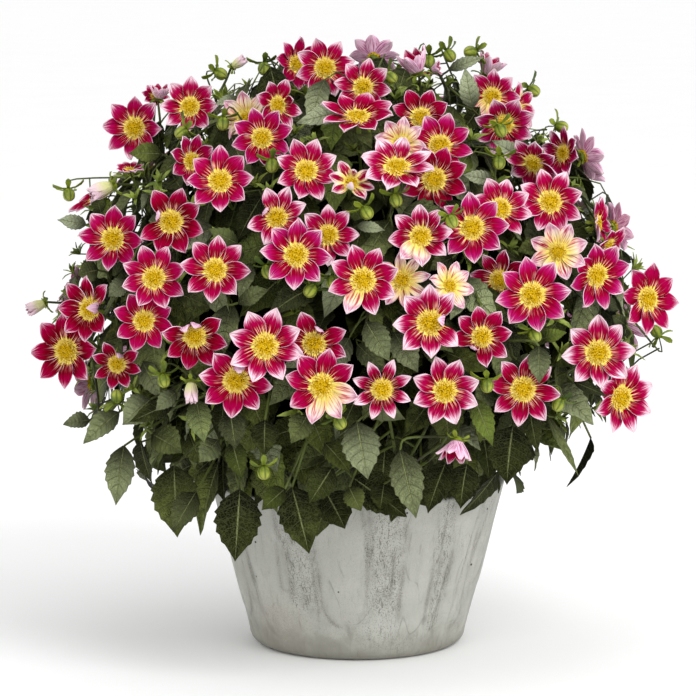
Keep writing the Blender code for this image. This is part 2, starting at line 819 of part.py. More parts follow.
def spiral(count, low, high, start=0.0):
    """Directions on an even spiral between two heights of the unit ball."""
    for k in range(count):
        height = high + (low - high) * (k + 0.5) / count
        flat = math.sqrt(1 - height * height)
        angle = start + GOLDEN_ANGLE * k
        yield Vector((flat * math.cos(angle), flat * math.sin(angle), height))


def back_bloom(way, chance):
    """A bloom on the back of the dome, facing outwards."""
    point, normal = dome_point(way, BACK_DEPTH)
    lean = Vector((chance.uniform(-BACK_LEAN, BACK_LEAN), chance.uniform(-BACK_LEAN, BACK_LEAN), 0))
    lean.z = chance.uniform(*BACK_LIFT)
    radius = chance.uniform(*BACK_RADIUS)
    spin = chance.uniform(*BACK_SPIN)

    def make(extra):
        place = frame(point - normal * abs(extra) * BACK_SINK, normal + lean, Vector((0, 0, 1)))
        piece = bloom_piece(place, radius, spin)
        piece.kind = "back bloom"
        return piece

    return make


def inner_leaf(way, chance):
    """A leaf under the blooms, its upper face outwards, hanging down or aside."""
    point, normal = dome_point(way, chance.uniform(*INNER_DEPTH))
    length = chance.uniform(*INNER_LENGTH)
    if point.y > BACK_START:
        length *= INNER_BACK_GROWTH
    down = Vector((0, 0, -1)) + normal * normal.z
    down = down.normalized() if down.length > 0.1 else Vector((0, -1, 0))
    angle = chance.uniform(-INNER_SWING, INNER_SWING)
    heading = down * math.cos(angle) + normal.cross(down) * math.sin(angle) + normal * INNER_LIFT
    base = point - heading.normalized() * length * 0.5
    shape = leaf_blade(length, length * chance.uniform(*INNER_WIDTH), SMALL_LEAF_EDGE)
    place = frame(base, heading, normal)

    def make(extra):
        return Piece("inner leaf", shape, place, PETIOLE_RADIUS)

    return make


def skirt_leaf(angle, chance):
    """A leaf that hangs over the pot's rim, its upper face outwards."""
    out = Vector((math.sin(angle), -math.cos(angle), 0))
    aside = Vector((math.cos(angle), math.sin(angle), 0)) * chance.uniform(-SKIRT_SWING, SKIRT_SWING)
    base = out * chance.uniform(*SKIRT_RADIUS)
    base.z = chance.uniform(*SKIRT_BASE) + SKIRT_RAISE * max(math.cos(angle - SKIRT_HIGH_SIDE), 0) ** 2
    heading = Vector((0, 0, -1)) + out * chance.uniform(*SKIRT_SPREAD) + aside
    length = chance.uniform(*SKIRT_LENGTH)
    shape = leaf_blade(length, length * chance.uniform(*INNER_WIDTH), SMALL_LEAF_EDGE)
    place = frame(base, heading, out + Vector((0, 0, SKIRT_LIFT)))

    def make(extra):
        return Piece("skirt leaf", shape, place, PETIOLE_RADIUS)

    return make


def lay_out():
    """Sets every head and leaf in turn, the seen ones first, and routes its stalk."""
    plant = Plant()
    chance = random.Random(BACK_SEED)
    for entry in sorted(BLOOMS, key=lambda b: -b[6]):
        plant.grow(seen_bloom(*entry), DEPTHS, STALK_STEPS)
    for entry in CLOSED_FLOWERS:
        plant.grow(seen_closed(*entry), DEPTHS, STALK_STEPS)
    for way in spiral(BACK_TURNS, *BACK_HEIGHTS):
        back_blooms = sum(p.kind == "back bloom" for p in plant.pieces)
        point = dome_point(way, BACK_DEPTH)[0]
        if point.y < BACK_START or back_blooms >= BACK_BLOOMS:
            continue
        if all((p.place.translation - point).length >= BACK_SPACING for p in plant.pieces):
            plant.grow(back_bloom(way, chance), DEPTHS[:BACK_DEPTHS], STALK_STEPS)
    for entry in BUDS:
        plant.grow(seen_bud(*entry), DEPTHS, BUD_STEPS, True)
    for entry in LEAVES:
        plant.grow(seen_leaf(*entry), DEPTHS, PETIOLE_STEPS, True)
    for way in spiral(INNER_LEAVES, *INNER_HEIGHTS, INNER_START):
        for _ in range(INNER_TRIES):
            if plant.grow(inner_leaf(way, chance), (0,), PETIOLE_STEPS, True):
                break
    for angle in even_angles(SKIRT_LEAVES):
        for _ in range(SKIRT_TRIES):
            if plant.grow(skirt_leaf(angle, chance), (0,), PETIOLE_STEPS, True):
                break
    return plant


def material(name, colour, roughness):
    found = bpy.data.materials.get(name)
    if found:
        return found
    made = bpy.data.materials.new(name)
    made.use_nodes = True
    shader = made.node_tree.nodes["Principled BSDF"]
    shader.inputs["Base Color"].default_value = (*colour, 1)
    shader.inputs["Roughness"].default_value = roughness
    shader.inputs["Metallic"].default_value = 0.0
    made.diffuse_color = (*colour, 1)
    return made


def mesh_object(name, points, faces, collection):
    mesh = bpy.data.meshes.new(name)
    mesh.from_pydata(points, [], faces)
    work = bmesh.new()
    work.from_mesh(mesh)
    bmesh.ops.recalc_face_normals(work, faces=work.faces)
    work.to_mesh(mesh)
    work.free()
    made = bpy.data.objects.new(name, mesh)
    collection.objects.link(made)
    return made


def applied(source, name, collection):
    """A new plain mesh object with what the source's modifiers or curve give, in place of the source."""
    graph = bpy.context.evaluated_depsgraph_get()
    mesh = bpy.data.meshes.new_from_object(source.evaluated_get(graph))
    work = bmesh.new()
    work.from_mesh(mesh)
    bmesh.ops.remove_doubles(work, verts=work.verts, dist=1e-6)
    bmesh.ops.triangulate(work, faces=work.faces)
    work.to_mesh(mesh)
    work.free()
    mesh.name = name
    made = bpy.data.objects.new(name, mesh)
    made.matrix_world = source.matrix_world
    bpy.data.objects.remove(source)
    made.name = name
    collection.objects.link(made)
    return made


def turned(name, profile, collection):
    """A closed turned solid from its profile of radius and height, outer side top to bottom first."""
    mesh = bpy.data.meshes.new(name)
    points = [Vector((radius, 0, height)) for radius, height in profile]
    mesh.from_pydata(points, [(i, i + 1) for i in range(len(points) - 1)], [])
    made = bpy.data.objects.new(name, mesh)
    collection.objects.link(made)
    screw = made.modifiers.new("turn", "SCREW")
    screw.steps = POT_STEPS
    screw.render_steps = POT_STEPS
    screw.use_merge_vertices = True
    screw.merge_threshold = 0.0001
    return made


def build_pot(collection):
    profile = pot_profile()
    axis = profile.index((0, 0))
    ordered = [(0, FLOOR)] + profile[axis + 2:] + profile[:axis] + [(0, 0)]
    pot = turned("pot", ordered, collection)
    pot.data.materials.append(material("pot_stone", (0.50, 0.50, 0.46), 0.85))
    for polygon in pot.data.polygons:
        polygon.use_smooth = True
    return pot


def build_soil(collection, cutters, stems):
    floor = FLOOR + FIT_GAP
    edge = SOIL_TOP - 0.002
    profile = [(0, SOIL_TOP + SOIL_RISE)]
    profile.append((inner_radius(edge) - FIT_GAP * 1.2, edge))
    profile.append((inner_radius(floor) - FIT_GAP * 1.2, floor))
    profile.append((0, floor))
    soil = applied(turned("soil", profile, collection), "soil", collection)
    for path in stems:
        foot = path[0]
        bottom = foot.z - FIT_GAP
        depth = SOIL_TOP + 0.02 - bottom
        bpy.ops.mesh.primitive_cylinder_add(
            vertices=5, radius=STEM_HOLE_RADIUS, depth=depth, location=(foot.x, foot.y, bottom + depth / 2)
        )
        hole = bpy.context.object
        for owner in hole.users_collection:
            owner.objects.unlink(hole)
        cutters.objects.link(hole)
        hole.hide_render = True
        hole.display_type = "WIRE"
    cut = soil.modifiers.new("stem_holes", "BOOLEAN")
    cut.operation = "DIFFERENCE"
    cut.operand_type = "COLLECTION"
    cut.collection = cutters
    cut.solver = "EXACT"
    soil.data.materials.append(material("soil", (0.035, 0.022, 0.014), 0.95))
    return soil


def separate_bodies(work):
    """The vertices of each body of a mesh."""
    left = set(work.verts)
    bodies = []
    while left:
        edge = [left.pop()]
        body = list(edge)
        while edge:
            found = {link.other_vert(vert) for vert in edge for link in vert.link_edges} & left
            left -= found
            body += found
            edge = list(found)
        bodies.append(body)
    return bodies


def simplify(mesh):
    """Fills sealed hollows, drops loose scraps, and joins the flat faces that the union cuts up."""
    work = bmesh.new()
    work.from_mesh(mesh)
    for body in sorted(separate_bodies(work), key=len)[:-1]:
        bmesh.ops.delete(work, geom=body, context="VERTS")
    flat = math.radians(FLAT_ANGLE)
    bmesh.ops.dissolve_limit(work, angle_limit=flat, verts=work.verts, edges=work.edges)
    bmesh.ops.triangulate(work, faces=work.faces)
    work.to_mesh(mesh)
    work.free()


def build_stem(name, path, pieces, collection):
    """One leafy stem: its main stem with all that it carries joined to it."""
    curve = bpy.data.curves.new(name, "CURVE")
    curve.dimensions = "3D"
    curve.bevel_depth = 1.0
    curve.bevel_resolution = 0
    curve.use_fill_caps = True
    spline = curve.splines.new("POLY")
    spline.points.add(len(path) - 1)
    for k, point in enumerate(path):
        share = k / (len(path) - 1)
        spline.points[k].co = (*point, 1)
        spline.points[k].radius = STEM_FOOT_RADIUS + (STEM_TOP_RADIUS - STEM_FOOT_RADIUS) * share
    stem = bpy.data.objects.new(name + "_curve", curve)
    collection.objects.link(stem)
    bpy.context.view_layer.update()
    stem = applied(stem, name, collection)
    carried = bpy.data.collections.new(name + "_carried")
    bpy.context.scene.collection.children.link(carried)
    for piece in pieces:
        mesh_object(piece.kind, piece.solid.points, piece.solid.faces, carried)
    join = stem.modifiers.new("join", "BOOLEAN")
    join.operation = "UNION"
    join.operand_type = "COLLECTION"
    join.collection = carried
    join.solver = "MANIFOLD"
    bpy.context.view_layer.update()
    stem = applied(stem, name, collection)
    simplify(stem.data)
    for part in list(carried.objects):
        bpy.data.objects.remove(part)
    bpy.data.collections.remove(carried)
    stem.data.materials.append(material("leafy_stem", (0.07, 0.12, 0.03), 0.6))
    return stem


def build():
    for old in list(bpy.data.objects):
        bpy.data.objects.remove(old)
    collection = bpy.data.collections.new("potted_dahlia")
    cutters = bpy.data.collections.new("cutters")
    bpy.context.scene.collection.children.link(collection)
    bpy.context.scene.collection.children.link(cutters)
    plant = lay_out()
    build_pot(collection)
    build_soil(collection, cutters, plant.stems)
    for number, path in enumerate(plant.stems):
        carried = [piece for piece in plant.pieces if piece.stem == number]
        build_stem(f"leafy_stem_{number + 1:02d}", path, carried, collection)
    return plant


if __name__ == "__main__":
    build()
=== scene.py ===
import math
import random

import bmesh
import bpy
import numpy as np
from mathutils import Matrix, Vector, noise
from mathutils.bvhtree import BVHTree


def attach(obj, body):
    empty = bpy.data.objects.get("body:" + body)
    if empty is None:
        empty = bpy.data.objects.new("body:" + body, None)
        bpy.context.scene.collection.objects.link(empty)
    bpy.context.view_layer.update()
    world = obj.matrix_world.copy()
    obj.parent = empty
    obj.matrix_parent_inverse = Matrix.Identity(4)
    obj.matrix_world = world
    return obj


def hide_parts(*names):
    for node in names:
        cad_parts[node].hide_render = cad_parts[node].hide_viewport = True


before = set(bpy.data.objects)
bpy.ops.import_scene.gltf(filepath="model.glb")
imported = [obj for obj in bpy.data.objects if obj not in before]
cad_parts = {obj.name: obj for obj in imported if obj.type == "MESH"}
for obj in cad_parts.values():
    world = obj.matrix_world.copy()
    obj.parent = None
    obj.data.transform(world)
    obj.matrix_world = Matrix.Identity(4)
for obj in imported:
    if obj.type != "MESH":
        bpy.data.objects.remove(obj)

# Pot: a tapered shell with a soft rim and a rounded foot
POT_HEIGHT = 0.175
RIM_RADIUS = 0.155
FOOT_RADIUS = 0.111
FOOT_ROUNDING = 0.014
WALL = 0.009
FLOOR = 0.014
RIM_ROUNDING = 0.0025
FIT_GAP = 0.0003

# Soil: fills the pot to below the rim, with each stem's foot sunk into it
SOIL_TOP = 0.157
SOIL_RISE = 0.004
STEM_HOLE_DEPTH = 0.030

# Crown of the plant, from which its stems spread
CROWN = Vector((0.0, 0.0, 0.205))
STEM_COUNT = 24
STEM_FOOT_RADIUS = 0.0038
STEM_TOP_RADIUS = 0.0027
STEM_REACH = 0.56
STEM_RISE = 0.40
STEM_NECK = 0.006
STEM_POINTS = 5
STEM_ROOM = 1.2
LOWEST_STEM = -0.10
FOOT_SPREAD = 0.088
RIM_CLEARANCE = 0.024
GOLDEN_ANGLE = math.pi * (3 - math.sqrt(5))

# Outer form of the plant: an ellipsoid on which the blooms lie
DOME_CENTRE = Vector((-0.006, 0.0, 0.335))
DOME_RADII = Vector((0.318, 0.285, 0.285))

# The viewer's eye, used to lay the front blooms, buds and leaves out as they are seen
EYE = Vector((-0.0099, -3.40, 0.76))
AIM = Vector((-0.0099, 0.0, 0.3124))
PICTURE_MIDDLE = 348
FOCAL_LENGTH = 3250

# Stalks: of flowers, and the thinner ones of buds and leaves, narrowed where they root in a stem
STALK_RADIUS = 0.0019
PETIOLE_RADIUS = 0.0014
STALK_SIDES = 3
STALK_STEPS = 3
BUD_STEPS = 2
PETIOLE_STEPS = 1
SHORT_STALK = 0.10
SHORTEST_STALK = 0.012
ROOT_TAPER = 0.6
KNEE = 0.010
CLEARANCE = 0.0004

# Where stalks can root, as shares of the length of a stem and of another stalk
STEM_NODES = [0.40 + 0.04 * k for k in range(15)]
STALK_NODES = [0.16 + 0.12 * k for k in range(6)]

# Choice of a way for a stalk: what each stalk already on a stem costs in metres, how many roots are
# tried, how far the way sways aside, and how much it leans on its ends
LOAD_COST = 0.003
ROOT_TRIES = 40
SWAYS = (0, 0.4, -0.4, 0.9, -0.9)
BEND_REACH = 0.4
SHARP_TURN = 0.15
STALK_LEAN = 0.5
KNEE_LEAN = 0.6
ROOT_LEAN = 0.6
STRAIGHTNESS = 0.8

# Extra depths in mm at which a head is tried in turn, and how many of them a back bloom gets
DEPTHS = (0, 3, -3, 6, -6, 10, -10, 15, -15, 20, -20, 27, -27, 35, -35, -45, -55)
BACK_DEPTHS = 9
BACK_SINK = 0.6

# Seen open blooms: column, row and radius in the picture, turn to the right and tilt up in degrees,
# spin of the petals in degrees, and place in front of the dome in mm
BLOOMS = [
    (325, 68, 31, 5, 12, 30, 4), (296, 64, 27, 38, 8, 10, -20), (190, 107, 30, -12, 18, 0, 0),
    (135, 128, 33, -18, 8, 0, 0), (155, 97, 14, 20, 40, 15, -18), (277, 105, 27, 34, 5, 20, -14),
    (247, 119, 28, -10, 12, 35, -22), (262, 138, 31, 0, 8, 30, 4), (220, 181, 35, 0, 18, -3, 6),
    (191, 161, 27, 32, 10, 20, -18), (306, 171, 33, 8, 14, 20, 0), (277, 218, 32, -5, 18, 22, -6),
    (328, 235, 31, 10, 12, 0, -16), (296, 255, 36, 0, 10, 4, 8), (171, 222, 35, 0, 14, 18, 2),
    (113, 239, 34, -12, 12, 2, 0), (154, 278, 33, 0, 12, 27, 4), (215, 270, 35, 0, 16, 4, 0),
    (90, 309, 34, -32, 8, -5, 0), (144, 321, 31, 0, 8, 17, 8), (195, 336, 34, -5, -6, 10, 0),
    (265, 346, 39, 5, 8, 18, 6), (314, 344, 35, 0, 16, 22, -10), (67, 351, 38, -28, 5, -5, 4),
    (117, 364, 26, 0, 0, 17, -4), (236, 380, 38, 5, -12, 10, 0), (322, 386, 38, -10, 5, 12, 6),
    (382, 389, 32, 0, 2, 20, 0), (445, 391, 35, 0, 8, 26, 0), (523, 389, 37, 3, 2, 8, 0),
    (620, 398, 38, 35, 0, 28, 0), (598, 353, 37, 5, 12, -2, 4), (482, 337, 31, -5, 10, -8, 0),
    (430, 323, 38, -5, 15, -3, 2), (532, 295, 38, 3, 8, -8, 6), (500, 280, 31, -15, 8, 8, -16),
    (363, 280, 37, 0, 10, 26, 4), (402, 280, 29, 5, 5, -8, -14), (449, 286, 26, 30, 18, 20, -10),
    (421, 237, 33, -8, 20, -6, 0), (472, 228, 36, 0, 12, -5, 6), (500, 209, 33, 15, 25, 20, -14),
    (550, 202, 34, 5, 15, 28, 4), (558, 252, 30, -5, 8, 25, -12), (596, 275, 35, 28, -5, 30, 0),
    (647, 299, 36, 35, 5, 10, 0), (597, 224, 28, 72, 5, 10, 0), (614, 227, 26, 122, 8, 25, 0),
    (607, 245, 24, 55, -25, 12, -20), (421, 118, 30, -5, 18, 18, -8), (440, 146, 34, 5, 28, 17, -2),
    (434, 179, 35, 8, 0, 22, 0), (401, 144, 27, -5, 18, 10, -16), (397, 168, 38, 0, 50, 15, 12),
    (351, 183, 24, 10, 30, 20, 0), (363, 87, 29, 3, 10, 10, 0), (357, 118, 38, 0, 62, 20, 8),
    (374, 58, 26, 165, 35, 0, -10), (492, 97, 28, 0, 10, 2, 6), (515, 108, 26, 45, 10, 12, -14),
    (503, 124, 32, 10, -20, 20, -12), (534, 163, 30, -30, -25, 20, 0), (564, 153, 27, -50, 5, 10, 0),
    (583, 156, 27, 120, 15, 0, 0), (130, 170, 15, 0, 72, 20, 0),
]

# Flowers still closed or half open: column and row of the base and of the tip in the picture, and
# place in front of the dome in mm
CLOSED_FLOWERS = [
    (47, 302, 26, 311, 0), (116, 184, 88, 196, 0), (231, 68, 246, 58, -4), (191, 379, 192, 404, 4),
    (458, 437, 453, 465, 8), (419, 76, 409, 48, 0), (430, 71, 444, 68, -10), (484, 77, 496, 53, -14),
    (158, 101, 162, 82, -10),
]

# Buds: column and row of the ball, column and row of the place above its bracts where its stalk
# bends away, and place in front of the dome in mm
BUDS = [
    (69, 195, 66, 176, 0), (264, 69, 264, 50, 0), (221, 74, 206, 66, 0), (272, 166, 272, 148, 0),
    (181, 133, 196, 122, 0), (223, 124, 223, 106, -6), (333, 283, 331, 266, -8),
    (268, 272, 264, 256, -8), (367, 213, 362, 204, -4), (452, 222, 446, 208, 14),
    (396, 201, 392, 184, -4), (429, 62, 430, 42, 4), (450, 56, 444, 46, 0), (391, 78, 378, 66, 0),
    (470, 52, 486, 50, -6), (534, 91, 522, 82, 0), (501, 131, 494, 112, 12), (499, 163, 500, 148, 0),
    (562, 127, 548, 124, 0), (656, 331, 664, 344, 0), (535, 336, 530, 324, 4), (487, 386, 487, 366, 0),
    (558, 405, 566, 390, 0), (340, 423, 332, 410, 6), (117, 396, 117, 410, 0), (164, 381, 160, 362, 0),
    (264, 473, 262, 452, 8), (310, 291, 318, 280, -10),
]

# Seen leaves: column and row of the base and of the tip, width in the picture, and place in front of
# the dome in mm
LEAVES = [
    (124, 446, 115, 505, 29, 0), (174, 466, 177, 537, 46, -16), (196, 492, 172, 531, 27, 6),
    (240, 490, 235, 561, 46, 0), (119, 412, 82, 442, 25, 0), (90, 420, 63, 423, 18, -14),
    (152, 434, 183, 451, 34, 0), (151, 399, 122, 424, 32, -6), (176, 392, 155, 410, 18, -6),
    (174, 402, 130, 421, 20, -14), (196, 399, 204, 443, 25, -6), (230, 411, 236, 449, 28, -4),
    (265, 420, 264, 456, 27, -8), (232, 441, 242, 479, 22, 2), (218, 440, 199, 462, 24, -18),
    (285, 489, 261, 509, 22, 8), (292, 487, 310, 553, 42, 0), (326, 492, 346, 528, 38, -12),
    (332, 468, 309, 503, 30, 4), (325, 443, 351, 471, 24, -6), (352, 477, 408, 515, 40, -8),
    (349, 487, 361, 511, 22, 6), (384, 484, 380, 510, 24, 2), (357, 422, 367, 479, 38, 0),
    (400, 450, 416, 518, 33, 4), (446, 462, 426, 512, 30, -6), (467, 464, 459, 508, 32, -2),
    (309, 413, 291, 443, 26, -8), (513, 426, 505, 484, 43, -6), (474, 398, 494, 445, 23, 4),
    (547, 416, 580, 475, 9, 0), (539, 346, 539, 383, 23, 12), (542, 339, 566, 331, 15, -4),
    (574, 382, 607, 395, 11, -8), (530, 412, 537, 452, 18, -10), (366, 322, 390, 361, 27, -2),
    (86, 225, 58, 218, 17, -12), (238, 244, 209, 228, 18, -12), (174, 292, 210, 306, 20, -16),
    (238, 303, 268, 288, 21, -16), (357, 226, 385, 229, 13, -12), (346, 111, 296, 121, 24, -14),
    (472, 109, 465, 68, 20, -8), (449, 70, 483, 56, 13, -6), (493, 181, 463, 174, 16, -12),
    (519, 158, 493, 139, 18, -14), (161, 154, 129, 152, 22, -16), (101, 213, 95, 190, 13, -8),
    (237, 97, 215, 104, 11, -8), (98, 270, 78, 274, 26, -14), (127, 282, 108, 296, 20, -16),
    (545, 244, 516, 250, 20, -16), (452, 258, 429, 269, 18, -16), (394, 332, 418, 372, 28, -12),
    (626, 325, 612, 315, 13, -8),
]

# Back of the plant and the leaves under the blooms, laid out by a rule: heights on the unit ball,
# shares of the dome's size, sizes in metres, angles in degrees or radians as drawn
BACK_SEED = 7
BACK_BLOOMS = 25
BACK_TURNS = 150
BACK_HEIGHTS = (-0.55, 0.97)
BACK_DEPTH = 0.97
BACK_START = 0.01
BACK_SPACING = 0.078
BACK_RADIUS = (0.031, 0.037)
BACK_SPIN = (0, 45)
BACK_LEAN = 0.3
BACK_LIFT = (0.0, 0.5)
INNER_LEAVES = 50
INNER_TRIES = 12
INNER_HEIGHTS = (-0.66, 0.90)
INNER_START = 1.0
INNER_DEPTH = (0.74, 0.92)
INNER_LENGTH = (0.048, 0.074)
INNER_WIDTH = (0.50, 0.62)
INNER_SWING = 1.2
INNER_LIFT = 0.3
INNER_BACK_GROWTH = 1.4

# Leaves that hang over the pot's rim, in a ring laid out by a rule: places and sizes in metres
SKIRT_LEAVES = 46
SKIRT_TRIES = 14
SKIRT_RADIUS = (0.166, 0.200)
SKIRT_BASE = (0.205, 0.255)
SKIRT_SPREAD = (0.05, 0.50)
SKIRT_SWING = 0.5
SKIRT_LENGTH = (0.055, 0.080)
SKIRT_LIFT = 0.4
SKIRT_HIGH_SIDE = math.radians(78)
SKIRT_RAISE = 0.050

# Form of a bloom: radius and height as shares of its radius, angles as shares of a petal's
PETALS = 8
DISC_RING = (0.35, 0.02)
DISC_TOP = 0.11
NOTCH = (0.48, 0.05)
SHOULDER = (0.71, 0.11)
SHOULDER_ANGLE = 0.36
PETAL_TIP = (1.0, 0.22)
CALYX = (0.085, -0.16)

# Form of a closed flower: radius and height as shares of its length, and its lean to the viewer
FOLDED_PETALS = 5
FOLDED_HUB = 0.62
FOLDED_TIP = (0.40, 1.0)
FOLDED_NOTCH = (0.30, 0.76)
FOLDED_CUP = (0.27, 0.22)
FOLDED_BASE = (0.11, -0.02)
FOLDED_LEAN = 0.25

# Form of a bud: radius and height as shares of its radius, and its lean to the viewer
BUD_RADIUS = 0.0066
BRACTS = 5
BUD_TOP = 2.0
BUD_BELLY = (0.98, 1.1)
BRACT_TIP = (1.9, 0.35)
BRACT_NOTCH = (0.62, 0.25)
BUD_BASE = (0.32, -0.15)
BUD_SEAT = 1.05
BUD_LEAN = 0.3

# Outline of one half of a leaf: share of the length, share of the half width
LEAF_EDGE = [(0.12, 0.66), (0.36, 1.00), (0.43, 0.86), (0.62, 0.80), (0.70, 0.56)]
SMALL_LEAF_EDGE = [(0.16, 0.76), (0.42, 1.00), (0.50, 0.82), (0.70, 0.58)]
SMALL_LEAF = 20
LEAF_MIDDLE = 0.42
LEAF_FOLD = 0.16
LEAF_DROOP = 0.10
LEAF_LEAN = 0.10
LEAF_TURN = 0.5
LEAF_THICKNESS = 0.0013

# Looks of single blooms, by column and row: how pale all petals are, how far the white tips reach, and
# the tone from dark red 0 to violet 1; the others draw their tips and tone
TIP_REACH = (0.25, 0.70)
TONE = (0.25, 0.75)
BLOOM_LOOKS = {
    (247, 119): (0.78, 0.5, 0.4), (277, 105): (0.30, 0.6, 0.4), (402, 280): (0.70, 0.5, 0.5),
    (449, 286): (0.85, 0.5, 0.5), (421, 237): (0.05, 0.75, 0.2), (558, 252): (0.72, 0.7, 0.5),
    (401, 144): (0.80, 0.7, 0.5), (397, 168): (0.10, 0.9, 0.5), (492, 97): (0.10, 0.6, 0.6),
    (351, 183): (0.55, 0.5, 0.4), (190, 107): (0.25, 0.7, 0.5), (515, 108): (0.40, 0.6, 0.5),
    (322, 386): (0.0, 0.45, 0.4), (363, 280): (0.0, 0.6, 0.5), (382, 389): (0.0, 0.85, 0.1),
    (265, 346): (0.0, 0.85, 0.45), (598, 353): (0.0, 0.85, 0.5), (430, 323): (0.0, 0.80, 0.45),
    (277, 218): (0.0, 0.85, 0.5), (328, 235): (0.0, 0.75, 0.5), (445, 391): (0.0, 0.80, 0.5),
    (550, 202): (0.0, 0.70, 0.5), (620, 398): (0.0, 0.75, 0.4), (171, 222): (0.0, 0.30, 0.15),
    (421, 118): (0.0, 0.25, 0.15), (434, 179): (0.0, 0.30, 0.2), (117, 364): (0.0, 0.30, 0.15),
    (195, 336): (0.0, 0.30, 0.1), (90, 309): (0.0, 0.35, 0.15), (67, 351): (0.0, 0.35, 0.2),
    (314, 344): (0.0, 0.55, 0.25), (500, 280): (0.0, 0.40, 0.2), (262, 138): (0.0, 0.40, 0.85),
    (532, 295): (0.0, 0.45, 0.9), (472, 228): (0.0, 0.45, 0.85), (296, 255): (0.0, 0.50, 0.85),
    (440, 146): (0.0, 0.40, 0.8), (596, 275): (0.0, 0.45, 0.85), (236, 380): (0.0, 0.50, 0.45),
    (482, 337): (0.0, 0.40, 0.25),
}
# Pale petals and petals curled over the disc, as clock angles
PALE_PETALS = {
    (421, 237): (160, 200), (492, 97): (135, 180, 225), (322, 386): (180, 140, 95), (363, 280): (190,),
}
CURLED_PETALS = {
    (277, 105): (60,), (351, 183): (20, 200), (430, 323): (80,), (277, 218): (275,), (171, 222): (290,),
    (117, 364): (0,), (195, 336): (0, 320), (90, 309): (95,), (314, 344): (0,), (236, 380): (350,),
    (482, 337): (215,),
}
# Share of the usual width that the petals of a narrow bloom have
NARROW_PETALS = {(382, 389): 0.72, (402, 280): 0.78, (500, 280): 0.85, (117, 364): 0.85, (523, 389): 0.9}

# Looks of single leaves, by column and row of their base: light with painted light and grey sheen, dark with
# painted shade, or fresh green
LIGHT_LEAVES = {
    (119, 412), (124, 446), (357, 422), (400, 450), (539, 346), (366, 322), (346, 111), (472, 109),
    (449, 70), (493, 181), (90, 420), (86, 225), (394, 332), (176, 392), (151, 399), (357, 226),
    (519, 158), (237, 97), (127, 282),
}
DARK_LEAVES = {
    (240, 490), (352, 477), (326, 492), (446, 462), (467, 464), (513, 426), (292, 487), (265, 420),
    (174, 402),
}
FRESH_LEAVES = {(285, 489), (232, 441), (474, 398), (542, 339)}
# Row in the picture above which a light leaf gets the most painted light and sheen, and how often another
# leaf is fresh green
UPPER_LEAF = 240
FRESH_LEAF_CHANCE = 0.10

# Leaves that fill the plant under its blooms: counts, shares of the dome's size, sizes in metres, and
# how they turn from the dome's middle, swing aside, drop, spread and lift their face
FILL_SEED = 21
FILL_LEAVES = 2300
FILL_TRIES = 4
FILL_HEIGHTS = (-0.62, 0.998)
FILL_START = 0.5
FILL_TURN = (-0.5, 0.5)
FILL_DEPTH = (0.42, 0.96)
FILL_LENGTH = (0.034, 0.068)
FILL_WIDTH = (0.46, 0.60)
FILL_SWING = (-1.1, 1.1)
FILL_DROP = (0.15, 1.2)
FILL_SPREAD = (0.0, 0.9)
FILL_LIFT = (0.1, 1.0)
FILL_PETIOLE = 0.11
FILL_SAG = 0.4
FILL_DROOP = (0.06, 0.20)
# Below this height the leaves keep nearer to the middle, and between these depths painted shade turns them
# dark
LOW_HEIGHT = 0.25
LOW_SHARE = 0.86
PAINTED_SHADE_DEPTH = (0.90, 0.70)
# Fresh green ones above a height, and ones with painted grey sheen and more painted light anywhere: how
# often, and how much of it they get
FRESH_HEIGHT = 0.33
FRESH_CHANCE = 0.16
FRESHNESS = (0.3, 0.9)
PAINTED_SHEEN_CHANCE = 0.26
PAINTED_SHEEN_AMOUNT = (0.35, 0.85)

# Leaves close over the pot's opening, and a veil of them before its rim: how many, their places and
# sizes in metres, and the share of the dome's size that sets how much painted shade darkens them
RIM_LEAVES = 420
RIM_PLACES = (0.085, 0.178)
RIM_HEIGHTS = (0.200, 0.262)
RIM_LENGTH = (0.032, 0.060)
RIM_DEPTH = 0.8
VEIL_LEAVES = 420
VEIL_PLACES = (0.160, 0.186)
VEIL_HEIGHTS = (0.184, 0.222)
VEIL_LENGTH = (0.032, 0.062)
VEIL_DEPTH = 0.9
VEIL_HIGH_POWER = 8

# Young shoots between the blooms: how many are tried, shares of the dome's size, sizes in metres, the
# room they leave to a bloom, and each tier of leaves by its share of the size, its rise and its curl
SHOOTS = 520
SHOOT_HEIGHTS = (-0.30, 0.995)
SHOOT_START = 0.3
SHOOT_DEPTH = (0.84, 0.955)
SHOOT_SIZE = (0.014, 0.024)
SHOOT_WIDTH = 0.5
SHOOT_ROOM = 0.003
SHOOT_BEHIND = 0.03
SHOOT_LIFT = (0.2, 0.9)
SHOOT_LEAVES = (3, 4)
SHOOT_TIERS = ((1.0, 50, 0), (0.7, 78, 40))
SPROUT_START = (0.0005, 0)
SPROUT_WIDTH = 0.12

# Places in the picture, at the upper left, where leaves and young shoots stand thick, and how far in
# pixels a try may stray from its place
THICK_LEAVES = [
    (133, 168), (146, 178), (124, 183), (138, 192), (150, 198), (126, 200), (142, 208), (131, 216),
    (110, 196), (118, 206), (152, 224), (140, 200), (133, 208), (146, 190), (128, 192), (136, 178),
]
THICK_SHOOTS = [
    (130, 172), (140, 176), (152, 172), (160, 182), (146, 186), (136, 184), (124, 190), (155, 192),
    (134, 196), (144, 168), (150, 182), (128, 180),
]
THICK_STRAY = (-4, 4)
THICK_DEPTH = (0.0, 0.035)
THICK_LENGTH = (0.026, 0.046)
THICK_TRIES = 10

# Length in metres from which a leaf gets more teeth, and lightness under which it is plain and painted dark
# as shade
LARGE_LEAF = 0.040
PAINTED_SHADE_LIGHTNESS = -0.05

